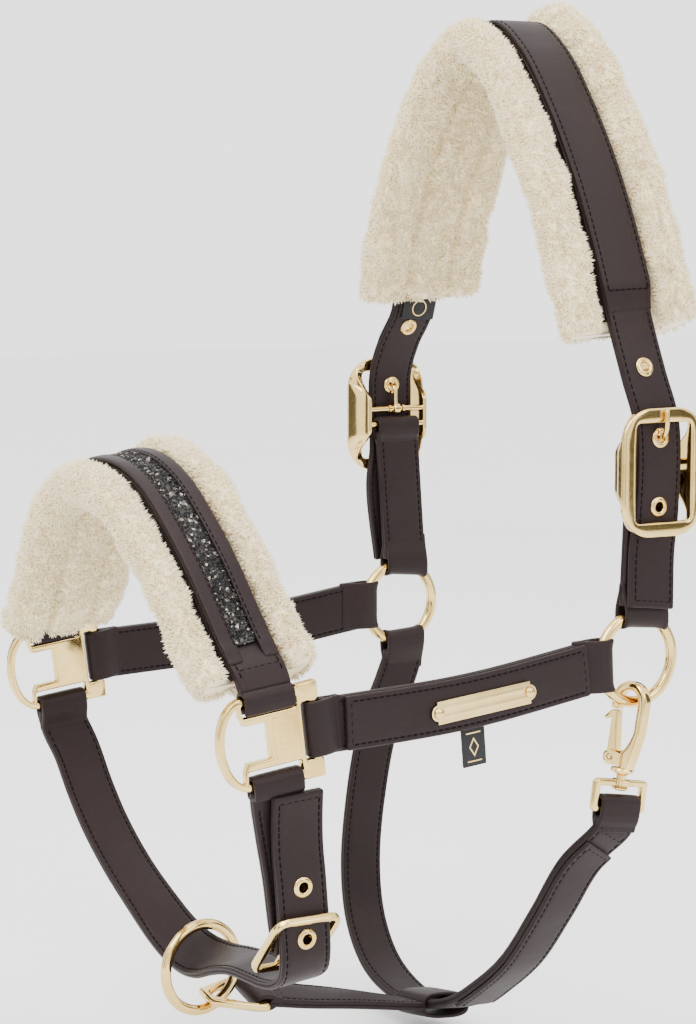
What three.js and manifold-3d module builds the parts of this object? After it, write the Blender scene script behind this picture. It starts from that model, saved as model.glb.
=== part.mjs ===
// Leather headcollar, adjustable at the crown and at the chin, lined with pile under the crown and
// the noseband. Millimetres, +Z up. The horse looks along -Y and its left cheek is at +X.
//
// The origin is the point that rests on the poll: the underside of the crown lining at X = 0.
// Heights inside the model are measured from the centres of the cheek rings, and one group lowers
// the whole headcollar by POLL_ABOVE_RINGS.
//
// "near" is the horse's left side (+X) and "far" is its right side (-X).
import * as THREE from 'three';
import { mergeVertices } from 'three/addons/utils/BufferGeometryUtils.js';
import Module from 'manifold-3d';

const wasm = await Module();
wasm.setup();

// ---------- driving dimensions ----------
const POLL_ABOVE_RINGS = 282;
const GAP = 0.3; // between pieces that touch

const LEATHER = 2.2; // one layer
const STRAP = 2 * LEATHER; // two layers sewn together
const CHEEK_WIDTH = 25;
const COVER_WIDTH = 28; // of the crown cover
const STRAP_WIDTH = 25; // of the noseband and the chin straps
const THROAT_WIDTH = 23;

const RING_X = 107; // half the distance between the cheek rings
const RING_RADIUS = 20.9;
const RING_WIRE = 2.7; // wire radius
const CHIN_RING_RADIUS = 21;
const CHIN_RING_WIRE = 2.6;

const FITTING = { x: 112, y: -194.4, z: -16.4, tilt: 0.12, thickness: 4.5, size: 0.93 };
const CROWN_BUCKLE = { x: 116, width: 47, height: 61, window: 32, drop: 47, bar: 1.6, depth: 12.5 };

const CROWN_PILE = { width: 71, thickness: 15 };
const NOSE_PILE = { width: 62, thickness: 15 };

const EYELET_OUTER = 4.75; // radii
const EYELET_HOLE = 2.3;

// ---------- materials ----------
const leather = new THREE.MeshStandardMaterial({ color: 0x443b3d, roughness: 0.6, metalness: 0 });
const leatherInside = new THREE.MeshStandardMaterial({ color: 0x4b4143, roughness: 0.7, metalness: 0 });
const gold = new THREE.MeshStandardMaterial({ color: 0xe6c98a, roughness: 0.18, metalness: 1 });
const pile = new THREE.MeshStandardMaterial({ color: 0xf4e8cf, roughness: 1, metalness: 0 });
const glitter = new THREE.MeshStandardMaterial({ color: 0x26231f, roughness: 0.35, metalness: 0.3 });
const woven = new THREE.MeshStandardMaterial({ color: 0x17161a, roughness: 0.9, metalness: 0 });
const steel = new THREE.MeshStandardMaterial({ color: 0x9c968a, roughness: 0.35, metalness: 1 });

// ---------- helpers ----------
const model = new THREE.Group();
model.position.z = -POLL_ABOVE_RINGS;

function vector([x, y, z]) {
  return new THREE.Vector3(x, y, z);
}

function piece(name, geometry, material) {
  const mesh = new THREE.Mesh(geometry, material);
  mesh.name = name;
  model.add(mesh);
  return mesh;
}

function toSolid(geometry) {
  const plain = geometry.clone();
  plain.deleteAttribute('normal');
  plain.deleteAttribute('uv');
  const merged = geometry.attributes.normal ? mergeVertices(plain, 1e-4) : plain;
  const vertProperties = Float32Array.from(merged.attributes.position.array);
  const triVerts = Uint32Array.from(merged.index.array);
  return new wasm.Manifold(new wasm.Mesh({ numProp: 3, vertProperties, triVerts }));
}

function toGeometry(solid) {
  const { vertProperties, triVerts } = solid.getMesh();
  const geometry = new THREE.BufferGeometry();
  geometry.setAttribute('position', new THREE.BufferAttribute(vertProperties, 3));
  geometry.setIndex(new THREE.BufferAttribute(triVerts, 1));
  return geometry;
}

function join(...geometries) {
  return toGeometry(geometries.map(toSolid).reduce((whole, next) => whole.add(next)));
}

function cut(geometry, ...tools) {
  return toGeometry(tools.map(toSolid).reduce((rest, tool) => rest.subtract(tool), toSolid(geometry)));
}

function common(a, b) {
  return toGeometry(toSolid(a).intersect(toSolid(b)));
}

// An outline pulled evenly to both sides of its own plane.
function slab(shape, thickness, curveSegments = 8) {
  const geometry = new THREE.ExtrudeGeometry(shape, { depth: thickness, bevelEnabled: false, curveSegments });
  return geometry.translate(0, 0, -thickness / 2);
}

function roundedRectangle(width, height, radius) {
  const shape = new THREE.Shape();
  const x = width / 2 - radius;
  const y = height / 2 - radius;
  shape.absarc(x, y, radius, 0, Math.PI / 2);
  shape.absarc(-x, y, radius, Math.PI / 2, Math.PI);
  shape.absarc(-x, -y, radius, Math.PI, 1.5 * Math.PI);
  shape.absarc(x, -y, radius, 1.5 * Math.PI, 2 * Math.PI);
  return shape;
}

// Puts a geometry's own x, y and z along `along`, `outward` and their cross product.
function place(geometry, centre, along, outward) {
  const x = vector(along).normalize();
  const y = vector(outward);
  y.addScaledVector(x, -y.dot(x)).normalize();
  const z = new THREE.Vector3().crossVectors(x, y);
  return geometry.applyMatrix4(new THREE.Matrix4().makeBasis(x, y, z).setPosition(...centre));
}

// A round bar from one point to another.
function rod(from, to, radius, sides = 12) {
  const a = vector(from);
  const b = vector(to);
  const geometry = new THREE.CylinderGeometry(radius, radius, a.distanceTo(b), sides);
  const along = b.clone().sub(a).normalize();
  const turn = new THREE.Quaternion().setFromUnitVectors(new THREE.Vector3(0, 1, 0), along);
  return geometry.applyQuaternion(turn).translate(...a.add(b).multiplyScalar(0.5).toArray());
}

// The middle line of a strap as evenly spaced frames: where it is, which way its width runs and which
// way its outer face looks. Layers cut from the same frames stay parallel.
function strapLine(points, across, steps) {
  const curve = new THREE.CatmullRomCurve3(points.map(vector), false, 'centripetal');
  const widthAt = typeof across === 'function' ? across : () => across;
  return Array.from({ length: steps + 1 }, (_, step) => {
    const centre = curve.getPointAt(step / steps);
    const tangent = curve.getTangentAt(step / steps);
    const side = vector(widthAt(centre));
    side.addScaledVector(tangent, -side.dot(tangent)).normalize();
    return { centre, side, outward: new THREE.Vector3().crossVectors(side, tangent) };
  });
}

// A closed bar along a strap line: `section` lists its [across, outward] corners, counter-clockwise.
function sweep(frames, section) {
  const corners = section.length;
  const positions = [];
  const index = [];
  for (const { centre, side, outward } of frames) {
    for (const [u, v] of section) {
      positions.push(...centre.clone().addScaledVector(side, u).addScaledVector(outward, v).toArray());
    }
  }
  for (let step = 0; step < frames.length - 1; step += 1) {
    for (let corner = 0; corner < corners; corner += 1) {
      const a = step * corners + corner;
      const b = step * corners + ((corner + 1) % corners);
      index.push(a, a + corners, b, b, a + corners, b + corners);
    }
  }
  const last = (frames.length - 1) * corners;
  const cap = THREE.ShapeUtils.triangulateShape(section.map(([u, v]) => new THREE.Vector2(u, v)), []);
  for (const [a, b, c] of cap) {
    index.push(a, b, c, last + a, last + c, last + b);
  }
  const geometry = new THREE.BufferGeometry();
  geometry.setAttribute('position', new THREE.Float32BufferAttribute(positions, 3));
  geometry.setIndex(index);
  return geometry;
}

function flatSection(width, thickness, aside = 0, above = 0) {
  const [left, right] = [aside - width / 2, aside + width / 2];
  const [low, high] = [above - thickness / 2, above + thickness / 2];
  return [[left, low], [right, low], [right, high], [left, high]];
}

// The folded end of a strap, a flat tube around a bar or a wire: `length` and `height` are the
// hole's, and its own x points along the strap.
function fold(width, length, height, round = Math.min(length, height) / 2 - 0.05) {
  const outer = roundedRectangle(length + STRAP, height + STRAP, round + LEATHER);
  outer.holes.push(roundedRectangle(length, height, round));
  return slab(outer, width + 0.2, 3);
}

// The place at a height on one side of a strap line, square to the line there.
function atHeight(frames, height, side) {
  const next = frames.findIndex(({ centre }, i) => (
    i > 0 && centre.x * side > 0 && (centre.z - height) * (frames[i - 1].centre.z - height) <= 0
  ));
  const [a, b] = [frames[next - 1], frames[next]];
  const along = b.centre.clone().sub(a.centre);
  const centre = a.centre.clone().addScaledVector(along, (height - a.centre.z) / along.z);
  const outward = new THREE.Vector3().crossVectors(a.side, along).normalize();
  return { centre: centre.toArray(), outward: outward.toArray(), across: a.side.toArray() };
}

function hole({ centre, outward }, radius) {
  const reach = vector(outward).multiplyScalar(8);
  const [from, to] = [vector(centre).sub(reach), vector(centre).add(reach)];
  return rod(from.toArray(), to.toArray(), radius, 8);
}

// A barrel through the strap with a flange on both of its faces.
function eyelet(name, { centre, outward, across }, thickness) {
  const flange = 0.8;
  const clear = 0.45; // the strap bends under the flange
  const end = thickness / 2 + clear + flange;
  const barrel = EYELET_HOLE + 0.7;
  const profile = [
    [EYELET_HOLE, -end], [EYELET_OUTER, -end], [EYELET_OUTER, flange - end], [barrel, flange - end],
    [barrel, end - flange], [EYELET_OUTER, end - flange], [EYELET_OUTER, end], [EYELET_HOLE, end],
    [EYELET_HOLE, -end],
  ].map(([r, h]) => new THREE.Vector2(r, h));
  piece(name, place(new THREE.LatheGeometry(profile, 10), centre, across, outward), gold);
}

// ---------- shared places ----------
// Fitting coordinates: a runs back along the cheek, b runs up, both from the middle of its plate.
function onFitting(side, a, b, out = 0) {
  const cos = Math.cos(FITTING.tilt);
  const sin = Math.sin(FITTING.tilt);
  return [side * (FITTING.x + out), FITTING.y + a * cos - b * sin, FITTING.z + a * sin + b * cos];
}
const FITTING_BACK = [0, Math.cos(FITTING.tilt), Math.sin(FITTING.tilt)];
const FITTING_UP = [0, -Math.sin(FITTING.tilt), Math.cos(FITTING.tilt)];
const SLOT_BAR = 20.5 * FITTING.size; // height of the upper and lower strap bars
const SLOT_MIDDLE = -7.7 * FITTING.size;
const REAR_BAR = 15.8 * FITTING.size;

// ---------- hardware: nose fittings ----------
// The outline is drawn 58 long and brought down to FITTING.size of that.
function noseFitting() {
  const frame = new THREE.Shape();
  frame.moveTo(-23, 22.5);
  frame.absellipse(-21.4, 0, 15.1, 22.5, 0.5 * Math.PI, 1.5 * Math.PI, false);
  for (const [a, b] of [[6.9, -22.5], [6.9, -23.5], [18.8, -23.5], [18.8, -14.1], [17.8, -14.1]]) {
    frame.lineTo(a, b);
  }
  for (const [a, b] of [[17.8, 14.1], [18.8, 14.1], [18.8, 23.5], [6.9, 23.5], [6.9, 22.5]]) {
    frame.lineTo(a, b);
  }
  for (const end of [-1, 1]) {
    const slot = roundedRectangle(29.2, 5.5, 1.2);
    frame.holes.push(new THREE.Path(slot.getPoints(3).map((p) => p.add({ x: -7.7, y: end * 15.75 }))));
  }
  const rear = roundedRectangle(4.5, 27.8, 1.2);
  frame.holes.push(new THREE.Path(rear.getPoints(3).map((p) => p.add({ x: 11.55, y: 0 }))));
  const opening = new THREE.Path();
  opening.moveTo(-9.3, -9);
  opening.lineTo(-9.3, 9);
  opening.lineTo(-21.5, 9);
  opening.lineTo(-23.5, 13);
  opening.absellipse(-21.4, 0, 11.6, 19, 0.57 * Math.PI, 1.43 * Math.PI, false);
  opening.lineTo(-23.5, -13);
  opening.lineTo(-21.5, -9);
  frame.holes.push(opening);
  return slab(frame, FITTING.thickness, 7).scale(FITTING.size, FITTING.size, 1);
}

for (const [name, side] of [['near', 1], ['far', -1]]) {
  const fitting = piece(`${name}_nose_fitting`, noseFitting(), gold);
  fitting.applyMatrix4(new THREE.Matrix4().makeBasis(
    vector(FITTING_BACK), vector(FITTING_UP), new THREE.Vector3(1, 0, 0),
  ).setPosition(...onFitting(side, 0, 0)));
}

// ---------- hardware: rings ----------
function ring(name, centre, radius, wire, yaw = 0) {
  const torus = new THREE.TorusGeometry(radius, wire, 8, 24).rotateY(Math.PI / 2).rotateZ(yaw);
  const mesh = piece(name, torus, gold);
  mesh.position.set(...centre);
}
ring('near_cheek_ring', [RING_X, 0, 0], RING_RADIUS, RING_WIRE);
ring('far_cheek_ring', [-RING_X, 0, 0], RING_RADIUS, RING_WIRE);

// ---------- hardware: crown buckles ----------
// Own axes: x outwards, y back, z up, origin in the middle of the outer bars. The rails deepen towards
// the head, where they carry the prong bar and, below it, the strap bar.
const PRONG_BAR = { x: -10, z: 3.5 };
const STRAP_BAR = { x: -10.8, z: -4.6 };
const BUCKLE_BAR = 4; // thickness of the outer bars

function crownBuckle({ width, height, window, drop, bar, depth }) {
  const front = roundedRectangle(width, height, 14);
  front.holes.push(roundedRectangle(window, drop, 2.5));
  const side = new THREE.Shape();
  side.moveTo(BUCKLE_BAR / 2, -height / 2);
  side.lineTo(BUCKLE_BAR / 2, height / 2);
  side.lineTo(-BUCKLE_BAR / 2, height / 2);
  side.lineTo(-BUCKLE_BAR / 2, drop / 2);
  side.quadraticCurveTo(-BUCKLE_BAR / 2, drop / 4, -depth, drop / 5);
  side.lineTo(-depth, -drop / 5);
  side.quadraticCurveTo(-BUCKLE_BAR / 2, -drop / 4, -BUCKLE_BAR / 2, -drop / 2);
  side.lineTo(-BUCKLE_BAR / 2, -height / 2);
  const face = place(slab(front, 2 * depth + 8, 6), [0, 0, 0], [0, 1, 0], [0, 0, 1]);
  const profile = place(slab(side, width + 2, 6), [0, 0, 0], [1, 0, 0], [0, 0, 1]);
  const reach = window / 2 + 3;
  const bars = [PRONG_BAR, STRAP_BAR].map(({ x, z }) => rod([x, -reach, z], [x, reach, z], bar, 10));
  return join(common(face, profile), ...bars);
}

const PRONG_WIRE = 1.2;

// A bent wire through its corners.
function bentWire(corners, radius, sides = 6) {
  const rods = corners.slice(1).map((to, i) => rod(corners[i], to, radius, sides));
  const elbows = corners.slice(1, -1).map((corner) => (
    new THREE.IcosahedronGeometry(radius * 1.02, 0).translate(...corner)
  ));
  return join(...rods, ...elbows);
}

// The eye of a prong around its bar, with its axis along Y.
function prongEye(bar) {
  const eye = new THREE.Shape().absarc(0, 0, bar + GAP + PRONG_WIRE, 0, 2 * Math.PI);
  eye.holes.push(new THREE.Path().absarc(0, 0, bar + GAP, 0, 2 * Math.PI, true));
  return place(slab(eye, 3.2, 6), [0, 0, 0], [1, 0, 0], [0, 0, 1]);
}

// The crown prong climbs behind the billet, comes out through its eyelet and rests over the top bar.
const EYELET_ABOVE_BAR = 12.5;
const OVER_TOP_BAR = BUCKLE_BAR / 2 + GAP + PRONG_WIRE - PRONG_BAR.x;
function crownProng() {
  const rise = CROWN_BUCKLE.bar + GAP + 1;
  const shank = bentWire([
    [0, 0, rise],
    [0.6, 0, EYELET_ABOVE_BAR - 1.2],
    [10, 0, EYELET_ABOVE_BAR + 0.7],
    [OVER_TOP_BAR, 0, 19],
    [OVER_TOP_BAR, 0, 26.5],
  ], PRONG_WIRE);
  return join(prongEye(CROWN_BUCKLE.bar), shank);
}

const CROWN_BUCKLES = { near: { side: 1, y: 7, z: 89.3 }, far: { side: -1, y: -3, z: 102 } };
for (const [name, { side, y, z }] of Object.entries(CROWN_BUCKLES)) {
  const buckle = piece(`${name}_crown_buckle`, crownBuckle(CROWN_BUCKLE), gold);
  buckle.position.set(side * CROWN_BUCKLE.x, y, z);
  buckle.rotation.z = side > 0 ? 0 : Math.PI;
  const tongue = piece(`${name}_crown_prong`, crownProng(), gold);
  tongue.position.set(side * (CROWN_BUCKLE.x + PRONG_BAR.x), y, z + PRONG_BAR.z);
  tongue.rotation.z = side > 0 ? 0 : Math.PI;
}

// ---------- crown ----------
// Middle of the crown strap from the near billet's tip up to the poll.  The far half is its mirror
// image, with its own heights where its buckle sits higher.
const BILLET = 4; // thickness of a billet
const BILLET_X = 111.5;
function crownHalf(side, y, buckleZ, arch) {
  const away = side * BILLET_X;
  return [
    [side * 115, 2, 25],
    [away, y - 2, buckleZ - 38],
    [away, y, buckleZ - 20],
    [away, y, buckleZ + 22],
    [side * 105.6, (y + 2) / 2 - 1, (buckleZ + 22 + 158) / 2],
    ...arch.map(([x, back, z]) => [side * x, back, z]),
  ];
}
const NEAR_ARCH = [[97, 2, 158], [89, 1, 182], [71.5, 0, 222], [48.5, 0, 258.5], [23, 0, 288.5]];
const FAR_ARCH = [[97.5, 2, 158], [92, 1, 182], [76.5, 0, 222], [54, 0, 260.5], [26.5, 0, 289.5]];
const nearCrown = crownHalf(1, CROWN_BUCKLES.near.y, CROWN_BUCKLES.near.z, NEAR_ARCH);
const farCrown = crownHalf(-1, CROWN_BUCKLES.far.y, CROWN_BUCKLES.far.z, FAR_ARCH);
const BACK = [0, 1, 0];
const crownLine = strapLine([...nearCrown, [0, 0, 300.8], ...farCrown.reverse()], BACK, 56);

function above(frames, near, far = near) {
  return frames.filter(({ centre }) => centre.z > (centre.x > 0 ? near : far));
}

const EYELET_PITCH = 32.5;
const CROWN_EYELETS = [];
for (const [name, { side, z }] of Object.entries(CROWN_BUCKLES)) {
  for (const [label, above] of [['upper', EYELET_PITCH], ['buckled', 0], ['lower', -EYELET_PITCH]]) {
    const height = z + PRONG_BAR.z + EYELET_ABOVE_BAR + above;
    CROWN_EYELETS.push([`${name}_eyelet_${label}`, atHeight(crownLine, height, side)]);
  }
}
piece('crown_strap', cut(
  sweep(crownLine, flatSection(CHEEK_WIDTH, BILLET)),
  ...CROWN_EYELETS.map(([, at]) => hole(at, EYELET_HOLE + 1)),
), leather);
for (const [name, at] of CROWN_EYELETS) {
  eyelet(name, at, BILLET);
}

// A second layer over the poll, and under it the backing that the pile is sewn to.
const COVER_HEIGHT = BILLET / 2 + GAP + LEATHER / 2;
const BACKING = 1.2;
const BACKING_HEIGHT = -BILLET / 2 - GAP - BACKING / 2;
piece('crown_cover', sweep(
  above(crownLine, 163), flatSection(COVER_WIDTH, LEATHER, 0, COVER_HEIGHT),
), leather);
piece('crown_backing', sweep(
  above(crownLine, 160, 169), flatSection(COVER_WIDTH + 4, BACKING, 0, BACKING_HEIGHT),
), leatherInside);

// The pile wraps both edges of the strap: a deep channel that the strap lies in.
function pileSection({ width, thickness }, channel, floor, rim) {
  const half = width / 2;
  const inner = channel / 2;
  const low = floor - thickness;
  return [
    [-half, low + 9], [-half + 9, low], [half - 9, low], [half, low + 9],
    [half, rim - 7], [half - 6, rim], [inner, rim - 1], [inner, floor],
    [-inner, floor], [-inner, rim - 1], [-half + 6, rim], [-half, rim - 7],
  ];
}
const PILE_FLOOR = BACKING_HEIGHT - BACKING / 2 - GAP;
piece('crown_pile', sweep(
  above(crownLine, 155, 166), pileSection(CROWN_PILE, COVER_WIDTH + 5, PILE_FLOOR, 4),
), pile);

// ---------- strap ends ----------
// A strap's end around a ring: the block that the leather fills, hollowed by the ring's own wire and
// rounded off inside the ring. `angle` is where on the ring it sits, from +Y towards +Z.
function ringEnd(side, angle, width, aside) {
  const height = 2 * (RING_WIRE + GAP + LEATHER);
  const outer = RING_RADIUS + RING_WIRE + GAP + LEATHER;
  const block = slab(roundedRectangle(2 * outer, height, height / 2 - 0.1), width, 4).translate(0, 0, aside);
  const torus = new THREE.TorusGeometry(RING_RADIUS, RING_WIRE + GAP, 8, 24).rotateX(Math.PI / 2);
  const inside = RING_RADIUS - RING_WIRE - GAP - LEATHER;
  const core = new THREE.CylinderGeometry(inside, inside, 2 * height, 20);
  const half = new THREE.BoxGeometry(4 * outer, 2 * height, 4 * outer).translate(-2 * outer, 0, 0);
  const out = [0, Math.cos(angle), Math.sin(angle)];
  return place(cut(block, torus, core, half), [side * RING_X, 0, 0], out, [side, 0, 0]);
}

// Straight run from one point to another, as a strap line.
function straightLine(from, to, across, steps = 4) {
  return strapLine([from, to], across, steps);
}

// ---------- cheeks ----------
const BAR_FOLD = { length: 4.6, height: 5.1, round: 0.7 }; // hole of a fold around a fitting's bar
const FOLD_REACH = BAR_FOLD.length / 2 + LEATHER / 2;
function barFold(width) {
  return fold(width, BAR_FOLD.length, BAR_FOLD.height, BAR_FOLD.round);
}
const RING_REACH = RING_RADIUS + RING_WIRE + GAP + LEATHER / 2;
// A place on a cheek: `y` back along the strap's middle, `out` from its mid-plane, `up` across it.
function onCheek(line, y, out, up = 0) {
  const next = line.findIndex(({ centre }) => centre.y > y);
  const [a, b] = [line[next - 1], line[next]];
  const t = (y - a.centre.y) / (b.centre.y - a.centre.y);
  const centre = a.centre.clone().lerp(b.centre, t);
  centre.addScaledVector(a.outward, out).addScaledVector(a.side, -up);
  return {
    centre: centre.toArray(),
    outward: a.outward.toArray(),
    across: b.centre.clone().sub(a.centre).toArray(),
  };
}
const COVER_FACE = STRAP / 2 + GAP + LEATHER;
const NAMEPLATE = { y: -93, up: -1.2, length: 52, height: 10.6, ear: 3.8, thickness: 0.9 };
const RIVET = { shank: 1.1, head: 2.6, dome: 1.5, spacing: 51 };
const RIVET_ENDS = { front: -RIVET.spacing / 2, rear: RIVET.spacing / 2 };

// A place on the nameplate, `along` it and `out` from its underside.
function onNameplate(line, along, out) {
  const middle = onCheek(line, NAMEPLATE.y, COVER_FACE + GAP + out, NAMEPLATE.up);
  const centre = vector(middle.centre).addScaledVector(vector(middle.across).normalize(), along);
  return { ...middle, centre: centre.toArray() };
}
const cheekLines = {};
for (const [name, side, drop] of [['near', 1, -1.6], ['far', -1, 0]]) {
  const across = [0, 0, -side];
  const front = onFitting(side, REAR_BAR + FOLD_REACH, 0);
  const rear = [side * RING_X, -RING_REACH, drop];
  const line = strapLine([front, [side * 111.5, -100, -10.5], rear], across, 16);
  cheekLines[name] = line;
  piece(`${name}_cheek_strap`, join(
    sweep(line, flatSection(CHEEK_WIDTH, STRAP)),
    place(barFold(CHEEK_WIDTH), onFitting(side, REAR_BAR, 0), FITTING_BACK, [side, 0, 0]),
    ringEnd(side, Math.PI, CHEEK_WIDTH, side * drop),
  ), leather);
  const coverSection = flatSection(CHEEK_WIDTH - 0.6, LEATHER, 0, COVER_FACE - LEATHER / 2);
  const cover = sweep(line.slice(2, -1), coverSection);
  const rivets = side > 0 ? Object.values(RIVET_ENDS) : [];
  const rivetHoles = rivets.map((along) => hole(onNameplate(line, along, 4), RIVET.shank + GAP));
  piece(`${name}_cheek_cover`, cut(cover, ...rivetHoles), leather);
}

// ---------- drop straps, from the crown buckles down to the rings ----------
const DROP_ASIDE = 3.2;
const BAR_WRAP = 2 * (CROWN_BUCKLE.bar + GAP); // hole of a fold around a buckle's bar
for (const [name, { side, y, z }] of Object.entries(CROWN_BUCKLES)) {
  const top = [side * (CROWN_BUCKLE.x + STRAP_BAR.x), y, z + STRAP_BAR.z];
  const start = [top[0], y, top[2] - BAR_WRAP / 2 - LEATHER / 2];
  const line = straightLine(start, [side * RING_X, DROP_ASIDE, RING_REACH], BACK, 6);
  piece(`${name}_drop_strap`, join(
    sweep(line, flatSection(CHEEK_WIDTH, STRAP)),
    place(fold(CHEEK_WIDTH, BAR_WRAP, BAR_WRAP), top, [0, 0, -1], [side, 0, 0]),
    ringEnd(side, Math.PI / 2, CHEEK_WIDTH, side * DROP_ASIDE),
  ), leather);
}

// ---------- noseband ----------
const NOSE_ACROSS = [0, 0.989, 0.15];
const NOSE_END = onFitting(1, SLOT_MIDDLE, SLOT_BAR);
function nosePoint(x, z) {
  return [x, NOSE_END[1] - 0.12 * (z - NOSE_END[2]), z];
}
const noseSide = [
  [112, NOSE_END[2] + FOLD_REACH], [107.5, 13], [97, 21], [86, 35], [72, 53], [56, 69.5], [37, 85], [18, 93],
];
const noseLine = strapLine([
  ...noseSide.map(([x, z]) => nosePoint(x, z)),
  nosePoint(0, 95),
  ...noseSide.map(([x, z]) => nosePoint(-x, z)).reverse(),
], NOSE_ACROSS, 32);
piece('nose_strap', join(
  sweep(noseLine, flatSection(STRAP_WIDTH, STRAP)),
  ...[1, -1].map((side) => place(
    barFold(STRAP_WIDTH), onFitting(side, SLOT_MIDDLE, SLOT_BAR), FITTING_UP.map((v) => -v), [side, 0, 0],
  )),
), leather);

const TRIM = { width: 7, height: 2.6, aside: 8.9 };
const GLITTER = { width: 10, height: 1.4 };
const trimLine = above(noseLine, 15);
for (const [name, end] of [['front', -1], ['rear', 1]]) {
  piece(`nose_trim_${name}`, sweep(
    trimLine, flatSection(TRIM.width, TRIM.height, end * TRIM.aside, STRAP / 2 + GAP + TRIM.height / 2),
  ), leather);
}
piece('glitter_strip', sweep(
  above(noseLine, 20), flatSection(GLITTER.width, GLITTER.height, 0, STRAP / 2 + GAP + GLITTER.height / 2),
), glitter);
const NOSE_BACKING = -STRAP / 2 - GAP - BACKING / 2;
piece('nose_backing', sweep(
  above(noseLine, 12), flatSection(STRAP_WIDTH + 4, BACKING, 0, NOSE_BACKING),
), leatherInside);
piece('nose_pile', sweep(
  above(noseLine, 11), pileSection(NOSE_PILE, STRAP_WIDTH + 5, NOSE_BACKING - BACKING / 2 - GAP, 4),
), pile);

// ---------- chin ----------
// The chin strap hangs from the far fitting, passes through the chin ring and the chin buckle, and
// its billet runs up the near side.
const CHIN_RING_AT = [0, -178, -151];
const CHIN_RING_YAW = 0.15;
function chinAcross({ x }) {
  const roll = 0.11 + 0.5 * Math.exp(-((x / 38) ** 2));
  return [0, Math.cos(roll), Math.sin(roll)];
}
const farSlot = onFitting(-1, SLOT_MIDDLE, -SLOT_BAR);
const nearSlot = onFitting(1, SLOT_MIDDLE, -SLOT_BAR);
const chinStart = vector(farSlot).addScaledVector(vector(FITTING_UP), -FOLD_REACH);
const chinNext = chinStart.clone().addScaledVector(vector(FITTING_UP), -8);
const chinLine = strapLine([
  chinStart.toArray(), chinNext.toArray(), [-108.6, -192.5, -62], [-101, -189, -80], [-87, -187, -97],
  [-66, -185, -114], [-44, -183, -127.5], [-22, -181.5, -138.5], [0, -181.5, -143.2], [19, -181.5, -142.3],
  [38, -181.5, -138], [55, -181.5, -135], [72, -181.5, -134.3], [86, -181.5, -133.8], [97, -181.7, -131.6],
  [106, -182.2, -126.3], [110.4, -183.5, -118.5], [111.5, -184.5, -107], [111.8, -185.5, -97],
  [112.3, -187, -82], [112.6, -188.5, -68], [113.5, -189.3, -56], [115.9, -190.3, -42],
], chinAcross, 56);
const CHIN_EYELETS = [['upper', -85, 1], ['middle', -108.9, 1]].map(([name, height, side]) => (
  [`chin_eyelet_${name}`, atHeight(chinLine, height, side)]
));
piece('chin_strap', cut(
  join(
    sweep(chinLine, flatSection(STRAP_WIDTH, BILLET)),
    place(barFold(STRAP_WIDTH), farSlot, FITTING_UP, [-1, 0, 0]),
  ),
  ...CHIN_EYELETS.map(([, at]) => hole(at, EYELET_HOLE + 1)),
), leather);
for (const [name, at] of CHIN_EYELETS) {
  eyelet(name, at, BILLET);
}
ring('chin_ring', CHIN_RING_AT, CHIN_RING_RADIUS, CHIN_RING_WIRE, CHIN_RING_YAW);

// Chin buckle: a flat frame that leans inwards as it goes down, around a middle bar.
const CHIN_BUCKLE = {
  at: [103.9, -184.5, -113], width: 34, height: 40.4, window: 26.6, drop: 34.4, bar: 1.6, thickness: 3.4,
};
const CHIN_DOWN = [-0.69, 0, -0.724];
const CHIN_OUT = [0.724, 0, -0.69];
const chinFrame = roundedRectangle(CHIN_BUCKLE.height, CHIN_BUCKLE.width, 7);
chinFrame.holes.push(roundedRectangle(CHIN_BUCKLE.drop, CHIN_BUCKLE.window, 2));
const chinReach = CHIN_BUCKLE.window / 2 + 2;
const chinBar = rod([0, 0, -chinReach], [0, 0, chinReach], CHIN_BUCKLE.bar, 10);
const chinFlat = slab(chinFrame, CHIN_BUCKLE.thickness, 5).rotateX(Math.PI / 2);
piece('chin_buckle', place(join(chinFlat, chinBar), CHIN_BUCKLE.at, CHIN_DOWN, CHIN_OUT), gold);
const chinProng = join(
  prongEye(CHIN_BUCKLE.bar).rotateY(Math.PI / 2).rotateX(Math.PI / 2),
  bentWire([[CHIN_BUCKLE.bar + GAP + 1, 0, 0], [12, -3.4, 0], [25, -3.4, 0]], PRONG_WIRE),
);
piece('chin_prong', place(chinProng, CHIN_BUCKLE.at, CHIN_DOWN, CHIN_OUT), gold);

// The short strap that carries the chin buckle, on the inner side of the billet. Its lower fold is
// slotted for the prong.
const shortTop = vector(nearSlot).addScaledVector(vector(FITTING_UP), -FOLD_REACH);
const shortNext = shortTop.clone().addScaledVector(vector(FITTING_UP), -2.5);
const BUCKLE_WRAP = 2 * (CHIN_BUCKLE.bar + GAP);
const shortEnd = vector(CHIN_BUCKLE.at).add(vector([0.3, -0.3, BUCKLE_WRAP / 2 + LEATHER / 2]));
const shortBend = shortEnd.clone().add(vector([0.4, -0.4, 4]));
const shortLine = strapLine([
  shortTop.toArray(), [shortNext.x - 0.6, shortNext.y, shortNext.z], [108.8, -196, -51], [107.6, -193.6, -62],
  [106.8, -190, -80], [105.4, -186.6, -100], shortBend.toArray(), shortEnd.toArray(),
], ({ z }) => [0, 1, 0.12 * Math.max(0, (z - shortEnd.z) / (shortTop.z - shortEnd.z))], 20);
const prongSlot = new THREE.BoxGeometry(16, 4.8, 12).translate(...CHIN_BUCKLE.at);
piece('near_chin_strap', cut(
  join(
    sweep(shortLine, flatSection(STRAP_WIDTH, STRAP)),
    place(barFold(STRAP_WIDTH), nearSlot, FITTING_UP, [1, 0, 0]),
    place(fold(STRAP_WIDTH, BUCKLE_WRAP, BUCKLE_WRAP), CHIN_BUCKLE.at, [0, 0, 1], [1, 0, 0]),
  ),
  prongSlot,
), leather);

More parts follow.
